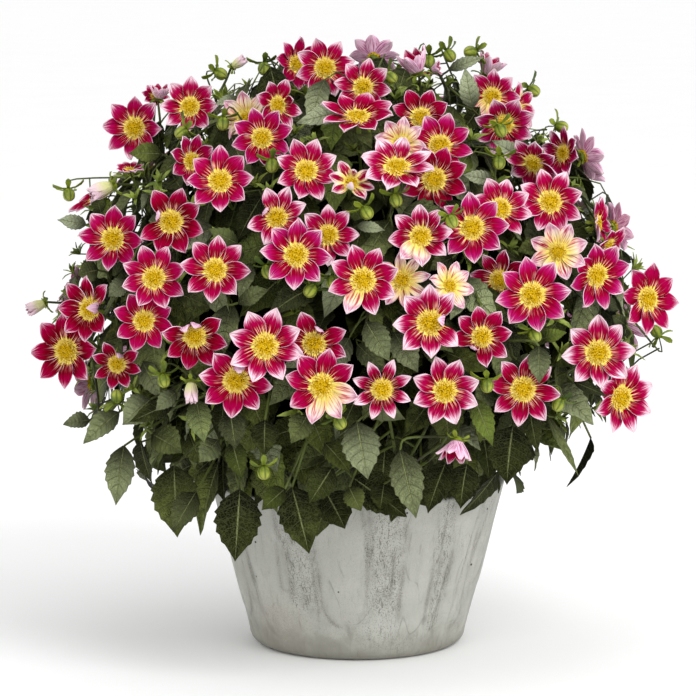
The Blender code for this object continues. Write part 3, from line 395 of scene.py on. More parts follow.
# Closed flowers that stand half open, and the petals of a half-open and of a closed one: length and
# width as shares of its length, rise of the outer petals, how much more the inner ones rise, the least,
# the middle and the most of the curl in degrees, cup and how soon the curl comes
OPEN_BELLS = {(458, 437), (419, 76), (430, 71), (484, 77), (158, 101)}
BELL_PETALS = ((0.75, 0.95), 0.21, 48, 0, (-22, 62, 12), 0.4, 1.0)
CLOSED_PETALS = ((0.80, 0.92), 0.17, 62, 14, (-8, 88, 6), 0.55, 0.6)
FOLDED_START = (0.10, 0.12)
FOLDED_ROLL = 6

# Points between two of a way's own on a stem, a flower's stalk and a leaf's, and where the stalk of a
# bloom ends under it, as a share of its radius
STEM_BENDS = 6
FLOWER_BENDS = 5
LEAF_BENDS = 4
STALK_TOP = -0.15

# Calyx and bud: radius and height as shares of the radius of the flower or bud, and the bud's seams
CALYX_PROFILE = [(0.085, -0.16), (0.12, -0.15), (0.155, -0.11), (0.18, -0.05), (0.24, -0.015), (0.25, 0.0),
                 (0.10, 0.005)]
CALYX_SIDES = 10
BUD_SEAMS = 6
BUD_PROFILE = [(0.30, -0.12), (0.45, -0.02), (0.72, 0.22), (0.92, 0.55), (1.0, 0.95), (0.96, 1.35),
               (0.80, 1.70), (0.52, 1.95), (0.20, 2.05), (0.05, 2.08)]
# How much larger the calyx of a closed flower is, and how far it stands up its petals
CUP_SIZE = 1.05
CUP_LIFT = 0.16

# Bracts: how many, then start, length and width as shares of the radius, rise and curl in degrees
BLOOM_BRACTS = (5, (0.11, -0.12), 0.34, 0.07, -10, -75)
CLOSED_BRACTS = (5, (0.12, 0.05), 0.42, 0.08, 20, -60)
BUD_BRACTS = (BRACTS, (0.25, -0.05), 2.5, 0.46, 5, -45)

# Pot: rows and sides of its surface, then its seen runs as clock angle from the front, half width in
# degrees, share of the height where they end, lift in mm, lean, paleness and how speckled
POT_SIDES = 400
POT_ROWS = 80
INNER_ROWS = 12
RIM_ROWS = 8
FOOT_ROWS = 6
HUB_RADIUS = 0.004
RUN_SEED = 3
FRONT_RUNS = [
    (-70, 9, 0.20, 1.0, -4, 0.5, 0.2),
    (-46, 10.5, 0.12, 1.2, 5, 0.75, 0.1),
    (-27.5, 6.5, 0.30, 0.5, 0, 0.1, 0.9),
    (-9.5, 10.5, 0.22, 1.2, 6, 0.8, 0.15),
    (11.5, 6.5, 0.26, 0.5, 2, 0.2, 0.85),
    (26, 7.0, 0.14, 1.0, 2, 0.8, 0.15),
    (38.5, 4.5, 0.14, 0.6, 2, 0.2, 0.9),
    (51, 7.5, 0.16, 1.1, 3, 0.7, 0.3),
    (70, 8.0, 0.40, 1.0, -3, 0.4, 0.3),
]
# Grooves as clock angle, share of the height at the top and the end, lean, width in metres, darkness of their
# painted shade
FRONT_GROOVES = [
    (3.5, 0.78, 0.30, 2, 0.0016, 0.95),
    (15.5, 0.74, 0.36, -2, 0.0020, 0.9),
    (44.0, 0.62, 0.10, -7, 0.0020, 0.9),
    (37.5, 0.90, 0.45, 2, 0.0014, 0.9),
    (58.0, 0.95, 0.16, -9, 0.0014, 0.7),
    (66.0, 0.95, 0.20, -12, 0.0014, 0.6),
    (-36.0, 0.76, 0.36, -3, 0.0018, 0.9),
    (-57.0, 0.62, 0.20, 5, 0.0018, 0.8),
    (-20.5, 0.70, 0.22, 3, 0.0022, 0.6),
]
# How a run rises and where its dark line lies, how far lines waver and how deep a groove is, in metres
FOOT_EDGE = 0.0005
PLAIN_SPECKS = 0.35
RUN_START = 0.001
RUN_SLOPE = 0.009
RUN_WAVER = 0.0025
OUTLINE_PLACE = 0.0015
OUTLINE_WIDTH = 0.0022
OUTLINE_DARK = 0.55
GROOVE_WAVER = 0.0012
GROOVE_DEPTH = 0.0012
# Soil: sides and rings of its surface, and its gap to the pot in metres
SOIL_SIDES = 96
SOIL_RINGS = 44
SOIL_GAP = 0.0006

# Light: the sky's colour and strength, and one soft lamp by its place, aim, size in metres and power
SENSOR = 36.0
SKY_COLOUR = (1.0, 1.0, 1.0, 1.0)
SKY_STRENGTH = 1.04
LAMP_PLACE = Vector((1.7, -2.5, 2.6))
LAMP_AIM = Vector((0, 0, 0.3))
LAMP_SIZE = 2.2
LAMP_POWER = 72


def picture_axes():
    """Forward, right and up of the viewer."""
    forward = (AIM - EYE).normalized()
    right = forward.cross(Vector((0, 0, 1))).normalized()
    return forward, right, right.cross(forward)


def seen_at(column, row, depth):
    """The point on the dome, or depth metres in front of it, seen at a place in the picture."""
    forward, right, up = picture_axes()
    ray = forward * FOCAL_LENGTH + right * (column - PICTURE_MIDDLE) + up * (PICTURE_MIDDLE - row)
    ray.normalize()
    shrink = Vector(1 / r for r in DOME_RADII)
    start = (EYE - DOME_CENTRE) * shrink
    step = ray * shrink
    a = step.dot(step)
    b = start.dot(step)
    root = max(b * b - a * (start.dot(start) - 1), 0)
    return EYE + ray * ((-b - math.sqrt(root)) / a - depth)


def real_size(pixels, point):
    """The real length of a stretch of the picture at a point."""
    return pixels * (point - EYE).length / FOCAL_LENGTH


def facing(turn, tilt):
    """Unit vector turned to the right of the viewer's side and tilted up, in degrees."""
    turn = math.radians(turn)
    tilt = math.radians(tilt)
    return Vector((math.sin(turn) * math.cos(tilt), -math.cos(turn) * math.cos(tilt), math.sin(tilt)))


def placed(point, forward, up):
    """Matrix whose Z looks along forward and whose Y leans towards up."""
    z = forward.normalized()
    x = up.cross(z)
    if x.length < 1e-4:
        x = Vector((1, 0, 0)).cross(z)
    x.normalize()
    turned = Matrix((x, z.cross(x), z)).transposed().to_4x4()
    return Matrix.Translation(point) @ turned


def ring(radius, height, angles):
    return [Vector((radius * math.sin(a), radius * math.cos(a), height)) for a in angles]


def ring_of(form, size, angles):
    """A ring from its radius and height as shares of a size."""
    return ring(form[0] * size, form[1] * size, angles)


def even_angles(count, start=0.0):
    return [start + math.tau * i / count for i in range(count)]


class Solid:
    """A closed mesh under construction."""

    def __init__(self):
        self.points = []
        self.faces = []

    def add(self, points):
        first = len(self.points)
        self.points += points
        return list(range(first, len(self.points)))

    def fan(self, rim, hub):
        for i in range(len(rim)):
            self.faces.append((rim[i - 1], rim[i], hub))

    def bridge(self, many, few):
        """Triangles between two closed rings that start at the same angle and run the same way."""
        i, j = 0, 0
        while i < len(many) or j < len(few):
            step_many = (i + 0.5) / len(many) <= (j + 0.5) / len(few)
            a, b = many[i % len(many)], few[j % len(few)]
            if step_many and i < len(many) or j == len(few):
                i += 1
                self.faces.append((a, many[i % len(many)], b))
            else:
                j += 1
                self.faces.append((a, few[j % len(few)], b))

    def cap(self, rim):
        for i in range(1, len(rim) - 1):
            self.faces.append((rim[0], rim[i], rim[i + 1]))

    def tree(self, faces=None):
        return BVHTree.FromPolygons(self.points, self.faces if faces is None else faces, epsilon=CLEARANCE)


def tube(solid, path, radius, axes, start_ring=None, spin=0.0, root=1.0):
    """Carries a ring back from a head, whose Z looks away from the path, to a closed end."""
    angles = even_angles(STALK_SIDES, spin)
    previous = start_ring
    if previous is None:
        previous = solid.add([path[0] + axes @ p for p in ring(radius, 0, angles)])
    last = len(path) - 1
    for k in range(1, last + 1):
        if k < last or last == 1:
            ahead = path[min(k + 1, last)] - path[k - 1]
            axes = axes.col[2].rotation_difference(-ahead).to_matrix() @ axes
        here = solid.add([path[k] + axes @ p for p in ring(radius * (root if k == last else 1), 0, angles)])
        for i in range(STALK_SIDES):
            solid.faces.append((previous[i - 1], previous[i], here[i]))
            solid.faces.append((previous[i - 1], here[i], here[i - 1]))
        previous = here
    solid.cap(previous)


def bend(start, start_way, end, end_way, steps):
    """Points of a smooth curve from start to end, leaving and arriving along the ways given."""
    reach = (end - start).length * BEND_REACH
    a = start + start_way.normalized() * reach
    b = end - end_way.normalized() * reach
    points = []
    for k in range(steps + 1):
        t = k / steps
        s = 1 - t
        points.append(start * s**3 + a * (3 * s * s * t) + b * (3 * s * t * t) + end * t**3)
    return points


def bloom_head(radius, spin):
    """A disc in a star of pointed petals, open at the calyx; Z is the way that it faces."""
    solid = Solid()
    half = math.pi / PETALS
    start = math.radians(spin) - half
    notches = even_angles(PETALS, start)
    top = solid.add([Vector((0, 0, DISC_TOP * radius))])[0]
    disc = solid.add(ring_of(DISC_RING, radius, notches))
    solid.fan(disc, top)
    outline = []
    lean = SHOULDER_ANGLE * 2 * half
    for angle in notches:
        middle = angle + half
        outline += ring_of(NOTCH, radius, [angle])
        outline += ring_of(SHOULDER, radius, [middle - lean])
        outline += ring_of(PETAL_TIP, radius, [middle])
        outline += ring_of(SHOULDER, radius, [middle + lean])
    rim = solid.add(outline)
    solid.bridge(rim, disc)
    calyx = solid.add(ring_of(CALYX, radius, even_angles(STALK_SIDES, start)))
    solid.bridge(rim, calyx)
    return solid, calyx, start


def closed_head(length):
    """Petals still folded together, open at the calyx; Z is the way that it points."""
    solid = Solid()
    angles = even_angles(FOLDED_PETALS)
    half = math.pi / FOLDED_PETALS
    hub = solid.add([Vector((0, 0, FOLDED_HUB * length))])[0]
    tips = []
    for angle in angles:
        tips += ring_of(FOLDED_TIP, length, [angle])
        tips += ring_of(FOLDED_NOTCH, length, [angle + half])
    rim = solid.add(tips)
    solid.fan(rim, hub)
    cup = solid.add(ring_of(FOLDED_CUP, length, angles))
    solid.bridge(rim, cup)
    base = solid.add(ring_of(FOLDED_BASE, length, even_angles(STALK_SIDES)))
    solid.bridge(cup, base)
    return solid, base


def bud_head(radius):
    """A ball with bracts spread under it, open at the base; Z is the way that it points."""
    solid = Solid()
    angles = even_angles(BRACTS)
    half = math.pi / BRACTS
    hub = solid.add([Vector((0, 0, BUD_TOP * radius))])[0]
    belly = solid.add(ring_of(BUD_BELLY, radius, angles))
    solid.fan(belly, hub)
    star = []
    for angle in angles:
        star += ring_of(BRACT_TIP, radius, [angle])
        star += ring_of(BRACT_NOTCH, radius, [angle + half])
    rim = solid.add(star)
    solid.bridge(rim, belly)
    base = solid.add(ring_of(BUD_BASE, radius, even_angles(STALK_SIDES)))
    solid.bridge(rim, base)
    return solid, base


def leaf_blade(length, width, edge_points=LEAF_EDGE):
    """A toothed blade along Z, its upper face towards +Y, open where its stalk joins."""
    solid = Solid()

    def place(share, side, lift):
        drop = LEAF_DROOP * length * share * share
        fold = LEAF_FOLD * abs(side) * width / 2
        return Vector((side * width / 2, fold + lift - drop, share * length))

    thick = LEAF_THICKNESS / 2
    base = solid.add(ring(PETIOLE_RADIUS, 0, even_angles(STALK_SIDES, math.pi)))
    right = [place(v, w, 0) for v, w in edge_points]
    left = [place(v, -w, 0) for v, w in reversed(edge_points)]
    edge = solid.add(right + [place(1, 0, 0)] + left)
    upper = solid.add([place(LEAF_MIDDLE, 0, thick)])[0]
    lower = solid.add([place(LEAF_MIDDLE, 0, -thick)])[0]
    solid.fan([base[1], base[2]] + edge, upper)
    solid.fan([base[1], base[0], base[2]] + edge, lower)
    return solid, base, math.pi


class Piece:
    """A head or a blade with its stalk, and what it takes to test it against others."""

    def __init__(self, kind, shape, place, stalk_radius, radius=None, key=None, size=None, spin_degrees=0.0):
        solid, self.base = shape[:2]
        self.spin = shape[2] if len(shape) > 2 else 0.0
        self.kind = kind
        self.solid = solid
        self.place = place
        self.stalk_radius = stalk_radius
        self.radius = radius
        self.key = key
        self.size = size
        self.spin_degrees = spin_degrees
        solid.points = [place @ p for p in solid.points]
        self.box = bounds_of(solid.points)
        self.head = solid.tree()
        self.stalk = self.path = self.stem = None


def bounds_of(points):
    low = Vector(min(p[i] for p in points) - CLEARANCE for i in range(3))
    high = Vector(max(p[i] for p in points) + CLEARANCE for i in range(3))
    return low, high


def apart(box, other):
    return any(box[0][i] > other[1][i] or other[0][i] > box[1][i] for i in range(3))


def crosses(tree, box, other_tree, other_box):
    return not apart(box, other_box) and bool(tree.overlap(other_tree))


def turned_tree(profile, steps=24):
    """Collision mesh of a turned shape, from its profile of radius and height."""
    points = []
    faces = []
    for radius, height in profile:
        points += [Vector((radius * math.cos(a), radius * math.sin(a), height)) for a in even_angles(steps)]
    for row in range(len(profile) - 1):
        for i in range(steps):
            a, b = row * steps + i, row * steps + (i + 1) % steps
            faces.append((a, b, b + steps, a + steps))
    return BVHTree.FromPolygons(points, faces, epsilon=0.002), bounds_of(points)


def pot_profile():
    """Outer side from the rim down, the flat foot, then the inner side up: radius and height."""
    slope = (RIM_RADIUS - FOOT_RADIUS) / POT_HEIGHT
    outer = [(RIM_RADIUS - RIM_ROUNDING, POT_HEIGHT), (RIM_RADIUS, POT_HEIGHT - RIM_ROUNDING)]
    outer.append((RIM_RADIUS - slope * POT_HEIGHT / 2, POT_HEIGHT / 2))
    corner = FOOT_RADIUS + slope * FOOT_ROUNDING
    for k in range(4):
        turn = math.radians(90 * k / 3)
        radius = corner - FOOT_ROUNDING * (1 - math.cos(turn))
        outer.append((radius, FOOT_ROUNDING * (1 - math.sin(turn))))
    inner = [(0, 0), (0, FLOOR), (inner_radius(FLOOR), FLOOR)]
    inner.append((inner_radius(POT_HEIGHT - RIM_ROUNDING), POT_HEIGHT - RIM_ROUNDING))
    inner.append((RIM_RADIUS - WALL + RIM_ROUNDING, POT_HEIGHT))
    return outer + inner


def inner_radius(height):
    """Radius of the pot's inner side at a height."""
    return FOOT_RADIUS - WALL + (RIM_RADIUS - FOOT_RADIUS) * height / POT_HEIGHT


def stem_ways():
    """Directions from the crown, spread evenly over the upper half and a little below it."""
    return list(spiral(STEM_COUNT, LOWEST_STEM, 1))


def stem_path(way):
    """From the foot in the soil, up and over the rim, to the middle of the stem's part of the dome."""
    flat = Vector((way.x, way.y, 0))
    foot = flat * FOOT_SPREAD
    foot.z = SOIL_TOP - STEM_HOLE_DEPTH + FIT_GAP
    out = CROWN + Vector((way.x * DOME_RADII.x, way.y * DOME_RADII.y, way.z * STEM_RISE)) * STEM_REACH
    out.z = max(out.z, POT_HEIGHT + RIM_CLEARANCE)
    neck = foot.copy()
    neck.z = SOIL_TOP + SOIL_RISE + STEM_NECK
    rise = bend(neck, Vector((0, 0, 1)), out, way + Vector((0, 0, 0.1)), STEM_POINTS - 2)
    return [foot] + rise


def along(path, share):
    """Point and way at a share of a path's length."""
    whole = sum((b - a).length for a, b in zip(path, path[1:]))
    left = share * whole
    for a, b in zip(path, path[1:]):
        step = (b - a).length
        if left <= step:
            return a.lerp(b, left / step), (b - a).normalized()
        left -= step
    return path[-1], (path[-1] - path[-2]).normalized()


class Plant:
    """Everything that grows, laid out so that no two stems touch."""

    def __init__(self):
        self.stems = [stem_path(way) for way in stem_ways()]
        self.stem_trees = []
        for path in self.stems:
            solid = Solid()
            axes = placed(path[0], Vector((0, 0, -1)), Vector((0, 1, 0))).to_3x3()
            tube(solid, path, STEM_FOOT_RADIUS * STEM_ROOM, axes)
            self.stem_trees.append((solid.tree(), bounds_of(solid.points)))
        self.pieces = []
        self.fixed = [turned_tree(pot_profile()), turned_tree([(0, SOIL_TOP), (RIM_RADIUS - WALL, SOIL_TOP)])]
        self.taken = set()

    def head_is_clear(self, piece):
        for tree, box in self.fixed + self.stem_trees:
            if crosses(piece.head, piece.box, tree, box):
                return False
        for other in self.pieces:
            if crosses(piece.head, piece.box, other.head, other.box):
                return False
            if crosses(piece.head, piece.box, *other.stalk):
                return False
        return True

    def stalk_is_clear(self, tree, box, stem, carrier):
        for fixed_tree, fixed_box in self.fixed:
            if crosses(tree, box, fixed_tree, fixed_box):
                return False
        for number, (stem_tree, stem_box) in enumerate(self.stem_trees):
            if number != stem and crosses(tree, box, stem_tree, stem_box):
                return False
        for other in self.pieces:
            if crosses(tree, box, other.head, other.box):
                return False
            if other is not carrier and crosses(tree, box, *other.stalk):
                return False
        return True

    def anchors(self, piece, from_stalks):
        """Places on stems, and on their stalks for a leaf, where a stalk can start, nearest first."""
        base = piece.place.translation
        load = [sum(other.stem == number for other in self.pieces) for number in range(STEM_COUNT)]
        found = []
        for number, path in enumerate(self.stems):
            for share in STEM_NODES:
                point, way = along(path, share)
                found.append(((point - base).length + load[number] * LOAD_COST, number, point, way, None))
        if from_stalks:
            for other in self.pieces:
                if other.stalk_radius == STALK_RADIUS:
                    for share in STALK_NODES:
                        point, way = along(other.path, share)
                        found.append(((point - base).length, other.stem, point, -way, other))
        free = [f for f in found if tuple(f[2]) not in self.taken]
        return sorted((f for f in free if (f[2] - base).length > SHORTEST_STALK), key=lambda f: f[0])

    def route(self, piece, steps, from_stalks=False):
        """Finds a clear way for the piece's stalk, and closes its mesh with it."""
        start = piece.place.translation
        back = -piece.place.col[2].to_3d()
        for _, stem, point, way, carrier in self.anchors(piece, from_stalks)[:ROOT_TRIES]:
            straight = point - start
            bends = steps - 1 if steps == STALK_STEPS and straight.length < SHORT_STALK else steps
            side = straight.cross(way + back * STALK_LEAN)
            side = side.normalized() if side.length > 1e-5 else Vector((1, 0, 0))
            for sway in SWAYS:
                arrive = straight.normalized() * STRAIGHTNESS - way * ROOT_LEAN + side * sway
                if back.dot(straight) < SHARP_TURN * straight.length:
                    across = straight - back * straight.dot(back)
                    knee = start + back * KNEE + (across.normalized() + side * sway * KNEE_LEAN) * KNEE
                    leave = across - back * across.length * KNEE_LEAN
                    path = [start] + bend(knee, leave, point, arrive, max(bends - 1, 1))
                else:
                    path = bend(start, back + side * sway * STALK_LEAN, point, arrive, bends)
                if self.accept(piece, path, stem, carrier):
                    self.taken.add(tuple(point))
                    return True
        return False

    def accept(self, piece, path, stem, carrier):
        """Keeps the path if its tube is clear of everything but its own stem and stalks."""
        solid = piece.solid
        points, faces = len(solid.points), len(solid.faces)
        tube(solid, path, piece.stalk_radius, piece.place.to_3x3(), piece.base, piece.spin, ROOT_TAPER)
        tree = solid.tree(solid.faces[faces:])
        box = bounds_of(path + solid.points[points:])
        later = solid.tree(solid.faces[faces + 2 * STALK_SIDES:])
        if not later.overlap(piece.head) and self.stalk_is_clear(tree, box, stem, carrier):
            piece.stalk = (tree, box)
            piece.path = path
            piece.stem = stem
            return True
        del solid.points[points:]
        del solid.faces[faces:]
        return False

    def grow(self, make, depths, steps, from_stalks=False):
        """Sets a head and routes its stalk, going on to the next depth where no way is clear."""
        for depth in depths:
            piece = make(depth / 1000)
            if self.head_is_clear(piece) and self.route(piece, steps, from_stalks):
                self.pieces.append(piece)
                return True
        return False


def bloom_piece(kind, place, radius, spin, key=None):
    return Piece(kind, bloom_head(radius, spin), place, STALK_RADIUS, radius, key, spin_degrees=spin)


def seen_bloom(column, row, radius, turn, tilt, spin, depth):
    def make(extra):
        point = seen_at(column, row, depth / 1000 + extra)
        place = placed(point, facing(turn, tilt), Vector((0, 0, 1)))
        return bloom_piece("bloom", place, real_size(radius, point), spin, (column, row))

    return make


def in_picture(columns, rows):
    """Real direction of a step across the picture."""
    _, right, up = picture_axes()
    return (right * columns - up * rows).normalized()


def seen_closed(column, row, tip_column, tip_row, depth):
    def make(extra):
        base = seen_at(column, row, depth / 1000 + extra)
        pixels = math.hypot(tip_column - column, tip_row - row)
        way = in_picture(tip_column - column, tip_row - row) - picture_axes()[0] * FOLDED_LEAN
        length = real_size(pixels, base)
        place = placed(base, way, Vector((0, 0, 1)))
        return Piece("closed", closed_head(length), place, STALK_RADIUS, length, (column, row))

    return make


def seen_bud(column, row, bract_column, bract_row, depth):
    def make(extra):
        ball = seen_at(column, row, depth / 1000 + extra)
        way = in_picture(column - bract_column, row - bract_row) - picture_axes()[0] * BUD_LEAN
        place = placed(ball - way.normalized() * BUD_RADIUS * BUD_SEAT, way, Vector((0, 0, 1)))
        return Piece("bud", bud_head(BUD_RADIUS), place, PETIOLE_RADIUS, BUD_RADIUS)

    return make


def seen_leaf(column, row, tip_column, tip_row, width, depth):
    def make(extra):
        forward = picture_axes()[0]
        base = seen_at(column, row, depth / 1000 + extra)
        ray = seen_at(tip_column, tip_row, 0) - EYE
        tip = EYE + ray * ((base - EYE).dot(forward) / ray.dot(forward))
        tip -= forward * (tip - base).length * LEAF_LEAN
        size = ((tip - base).length, real_size(width, base))
        shape = leaf_blade(*size, LEAF_EDGE if width >= SMALL_LEAF else SMALL_LEAF_EDGE)
        place = placed(base, tip - base, Vector((0, 0, LEAF_TURN)) - forward)
        return Piece("leaf", shape, place, PETIOLE_RADIUS, key=(column, row), size=size)

    return make


def dome_point(way, scale):
    """Where a direction from the dome's middle meets the dome, and its outward normal there."""
    flat = Vector(w / r for w, r in zip(way, DOME_RADII))
    point = way / flat.length
    normal = Vector(p / (r * r) for p, r in zip(point, DOME_RADII)).normalized()
    return DOME_CENTRE + point * scale, normal


def spiral(count, low, high, start=0.0):
    """Directions on an even spiral between two heights of the unit ball."""
    for k in range(count):
        height = high + (low - high) * (k + 0.5) / count
        flat = math.sqrt(1 - height * height)
        angle = start + GOLDEN_ANGLE * k
        yield Vector((flat * math.cos(angle), flat * math.sin(angle), height))


def back_bloom(way, chance):
    """A bloom on the back of the dome, facing outwards."""
    point, normal = dome_point(way, BACK_DEPTH)
    lean = Vector((chance.uniform(-BACK_LEAN, BACK_LEAN), chance.uniform(-BACK_LEAN, BACK_LEAN), 0))
    lean.z = chance.uniform(*BACK_LIFT)
    radius = chance.uniform(*BACK_RADIUS)
    spin = chance.uniform(*BACK_SPIN)

    def make(extra):
        place = placed(point - normal * abs(extra) * BACK_SINK, normal + lean, Vector((0, 0, 1)))
        return bloom_piece("back bloom", place, radius, spin)

    return make


def ruled_leaf(kind, place, length, width):
    """A leaf whose place is set by a rule, whatever depth is asked for."""
    shape = leaf_blade(length, width, SMALL_LEAF_EDGE)
    return lambda _: Piece(kind, shape, place, PETIOLE_RADIUS, size=(length, width))


def inner_leaf(way, chance):
    """A leaf under the blooms, its upper face outwards, hanging down or aside."""
    point, normal = dome_point(way, chance.uniform(*INNER_DEPTH))
    length = chance.uniform(*INNER_LENGTH)
    if point.y > BACK_START:
        length *= INNER_BACK_GROWTH
    down = Vector((0, 0, -1)) + normal * normal.z
    down = down.normalized() if down.length > 0.1 else Vector((0, -1, 0))
    angle = chance.uniform(-INNER_SWING, INNER_SWING)
    heading = down * math.cos(angle) + normal.cross(down) * math.sin(angle) + normal * INNER_LIFT
    base = point - heading.normalized() * length * 0.5
    width = length * chance.uniform(*INNER_WIDTH)
    return ruled_leaf("inner leaf", placed(base, heading, normal), length, width)


def skirt_leaf(angle, chance):
    """A leaf that hangs over the pot's rim, its upper face outwards."""
    out = Vector((math.sin(angle), -math.cos(angle), 0))
    aside = Vector((math.cos(angle), math.sin(angle), 0)) * chance.uniform(-SKIRT_SWING, SKIRT_SWING)
    base = out * chance.uniform(*SKIRT_RADIUS)
    base.z = chance.uniform(*SKIRT_BASE) + SKIRT_RAISE * max(math.cos(angle - SKIRT_HIGH_SIDE), 0) ** 2
    heading = Vector((0, 0, -1)) + out * chance.uniform(*SKIRT_SPREAD) + aside
    length = chance.uniform(*SKIRT_LENGTH)
    width = length * chance.uniform(*INNER_WIDTH)
    return ruled_leaf("skirt leaf", placed(base, heading, out + Vector((0, 0, SKIRT_LIFT))), length, width)


def lay_out():
    """Sets every head and leaf in turn, the seen ones first, and routes its stalk."""
    plant = Plant()
    chance = random.Random(BACK_SEED)
    for entry in sorted(BLOOMS, key=lambda b: -b[6]):
        plant.grow(seen_bloom(*entry), DEPTHS, STALK_STEPS)
    for entry in CLOSED_FLOWERS:
        plant.grow(seen_closed(*entry), DEPTHS, STALK_STEPS)
    for way in spiral(BACK_TURNS, *BACK_HEIGHTS):
        back_blooms = sum(p.kind == "back bloom" for p in plant.pieces)
        point = dome_point(way, BACK_DEPTH)[0]
        if point.y < BACK_START or back_blooms >= BACK_BLOOMS:
            continue
        if all((p.place.translation - point).length >= BACK_SPACING for p in plant.pieces):
            plant.grow(back_bloom(way, chance), DEPTHS[:BACK_DEPTHS], STALK_STEPS)
    for entry in BUDS:
        plant.grow(seen_bud(*entry), DEPTHS, BUD_STEPS, True)
    for entry in LEAVES:
        plant.grow(seen_leaf(*entry), DEPTHS, PETIOLE_STEPS, True)
    inner = [(inner_leaf, way, INNER_TRIES) for way in spiral(INNER_LEAVES, *INNER_HEIGHTS, INNER_START)]
    skirt = [(skirt_leaf, angle, SKIRT_TRIES) for angle in even_angles(SKIRT_LEAVES)]
    for rule, place, tries in inner + skirt:
        for _ in range(tries):
            if plant.grow(rule(place, chance), (0,), PETIOLE_STEPS, True):
                break
    return plant


# Rows of a petal: share of the length, half width as a share of the widest
PETAL_ROWS = [
    (0.0, 0.62), (0.14, 0.79), (0.31, 0.95), (0.48, 1.0), (0.62, 0.93), (0.74, 0.74), (0.85, 0.46),
    (0.94, 0.19), (1.0, 0.0),
]
PETAL_COLUMNS = 4
# How close the furrows of a petal stand
PETAL_FURROWS = 2
# Leaves: the common form, then for each kind its rows, those at the peak of a tooth, and its columns
LEAF_FORM = [(0, 0.04), (0.05, 0.30), (0.12, 0.60), (0.22, 0.87), (0.34, 1.0), (0.46, 1.0), (0.60, 0.87),
             (0.74, 0.62), (0.87, 0.28), (0.94, 0.11), (1.0, 0.0)]
LEAF_ROWS = [0, 0.05, 0.12, 0.19, 0.225, 0.33, 0.365, 0.47, 0.505, 0.61, 0.645, 0.74, 0.775, 0.87, 0.94, 1]
LEAF_TEETH = [0.19, 0.33, 0.47, 0.61, 0.74]
LEAF_COLUMNS = 6
SMALL_ROWS = [0, 0.08, 0.20, 0.32, 0.37, 0.52, 0.57, 0.72, 0.77, 0.90, 1]
SMALL_TEETH = [0.32, 0.52, 0.72]
SMALL_COLUMNS = 4
SIDE_ROWS = [0, 0.08, 0.17, 0.29, 0.33, 0.45, 0.49, 0.61, 0.65, 0.78, 0.90, 1]
SIDE_TEETH = [0.29, 0.45, 0.61]
PLAIN_ROWS = [0, 0.12, 0.34, 0.60, 0.82, 1]
PLAIN_COLUMNS = 2
# Width at the peak of a tooth and after it, as a share of the form's
TOOTH_PEAK = 1.06
TOOTH_VALLEY = 0.93
BRACT_ROWS = [(0.0, 0.45), (0.35, 0.60), (0.70, 1.0), (0.90, 0.75), (1.0, 0.0)]
BRACT_COLUMNS = 2
SPROUT_ROWS = [(0.0, 0.30), (0.28, 0.90), (0.62, 0.85), (1.0, 0.0)]

# Petal sizes as shares of the bloom's radius, angles in degrees
PETAL_START = (0.25, 0.02)
PETAL_WIDTH = 0.262
PETAL_BODY = 0.0006
PETAL_RISE = (10, 22)
PETAL_CURL = (-4, 20)
PETAL_STRAY = 3.5
# A petal curled over the disc: its curl, how soon it comes, and its length and width as shares of others
CURLED_OVER = (120, 155)
CURLED_POWER = 0.8
CURLED_LENGTH = 0.85
CURLED_WIDTH = 0.62
PETAL_ROLL = 10
NEAR_ANGLE = 23
PALE = 0.85
PETAL_CUP = (0.02, 0.42)
FURROW = 0.055
LOOK_SEED = 5
BLADE_STEPS = 32
# How deep the cup of a blade is at its base, as a share of that at its tip
CUP_BASE = 0.4

# A leaf: its body in metres, fold, height of the waves of its edge, twist, how close the waves stand and
# how far those of its two sides are apart
LEAF_BODY = 0.0007
FOLD = (0.14, 0.42)
WAVE = (0.02, 0.05)
TWIST = (-0.25, 0.25)
EDGE_WAVES = 11
WAVE_SHIFT = 0.8

# Disc of a bloom of radius 1: its radius, height as a share of that and lift; its florets, open from a
# share of the radius on, with their lean in degrees, sway in radians, sizes, sides and sunk mouth; how
# close to the edge they come, the look under them, and the foot, mouth and height of the two kinds
DISC_SHARE = 0.275
DISC_HEIGHT = 0.30
DISC_LIFT = 0.02
FLORETS = 76
OPEN_FLORETS = 0.62
FLORET_LEAN = 62
FLORET_SWAY = 0.12
FLORET_SIZE = (0.85, 1.15)
FLORET_SIDES = 5
MOUTH_RIM = 0.45
MOUTH_DEPTH = 0.02
DISC_PACKING = 0.98
DOME_LOOK = (0.3, 0.3, 0, 1)
CLOSED_FLORET = (0.029, 0.017, 0.070)
OPEN_FLORET = (0.017, 0.030, 0.090)


def deselect():
    """Leaves object mode ready, with nothing selected."""
    if bpy.context.mode != "OBJECT":
        bpy.ops.object.mode_set(mode="OBJECT")
    bpy.ops.object.select_all(action="DESELECT")


def pick(piece):
    deselect()
    piece.select_set(True)
    bpy.context.view_layer.objects.active = piece


def select_points(piece, chosen):
    """In edit mode, selects the vertices with these numbers and nothing else."""
    bpy.ops.mesh.select_all(action="DESELECT")
    form = bmesh.from_edit_mesh(piece.data)
    form.verts.ensure_lookup_table()
    for number in chosen:
        form.verts[number].select = True
    form.select_flush_mode()
    bmesh.update_edit_mesh(piece.data)


def rows_of(piece, count):
    """Numbers of the vertices in each row of a grid, from the base on."""
    rows = [[] for _ in range(count)]
    for vertex in piece.data.vertices:
        rows[round((vertex.co.y + 1) / 2 * (count - 1))].append(vertex.index)
    return rows


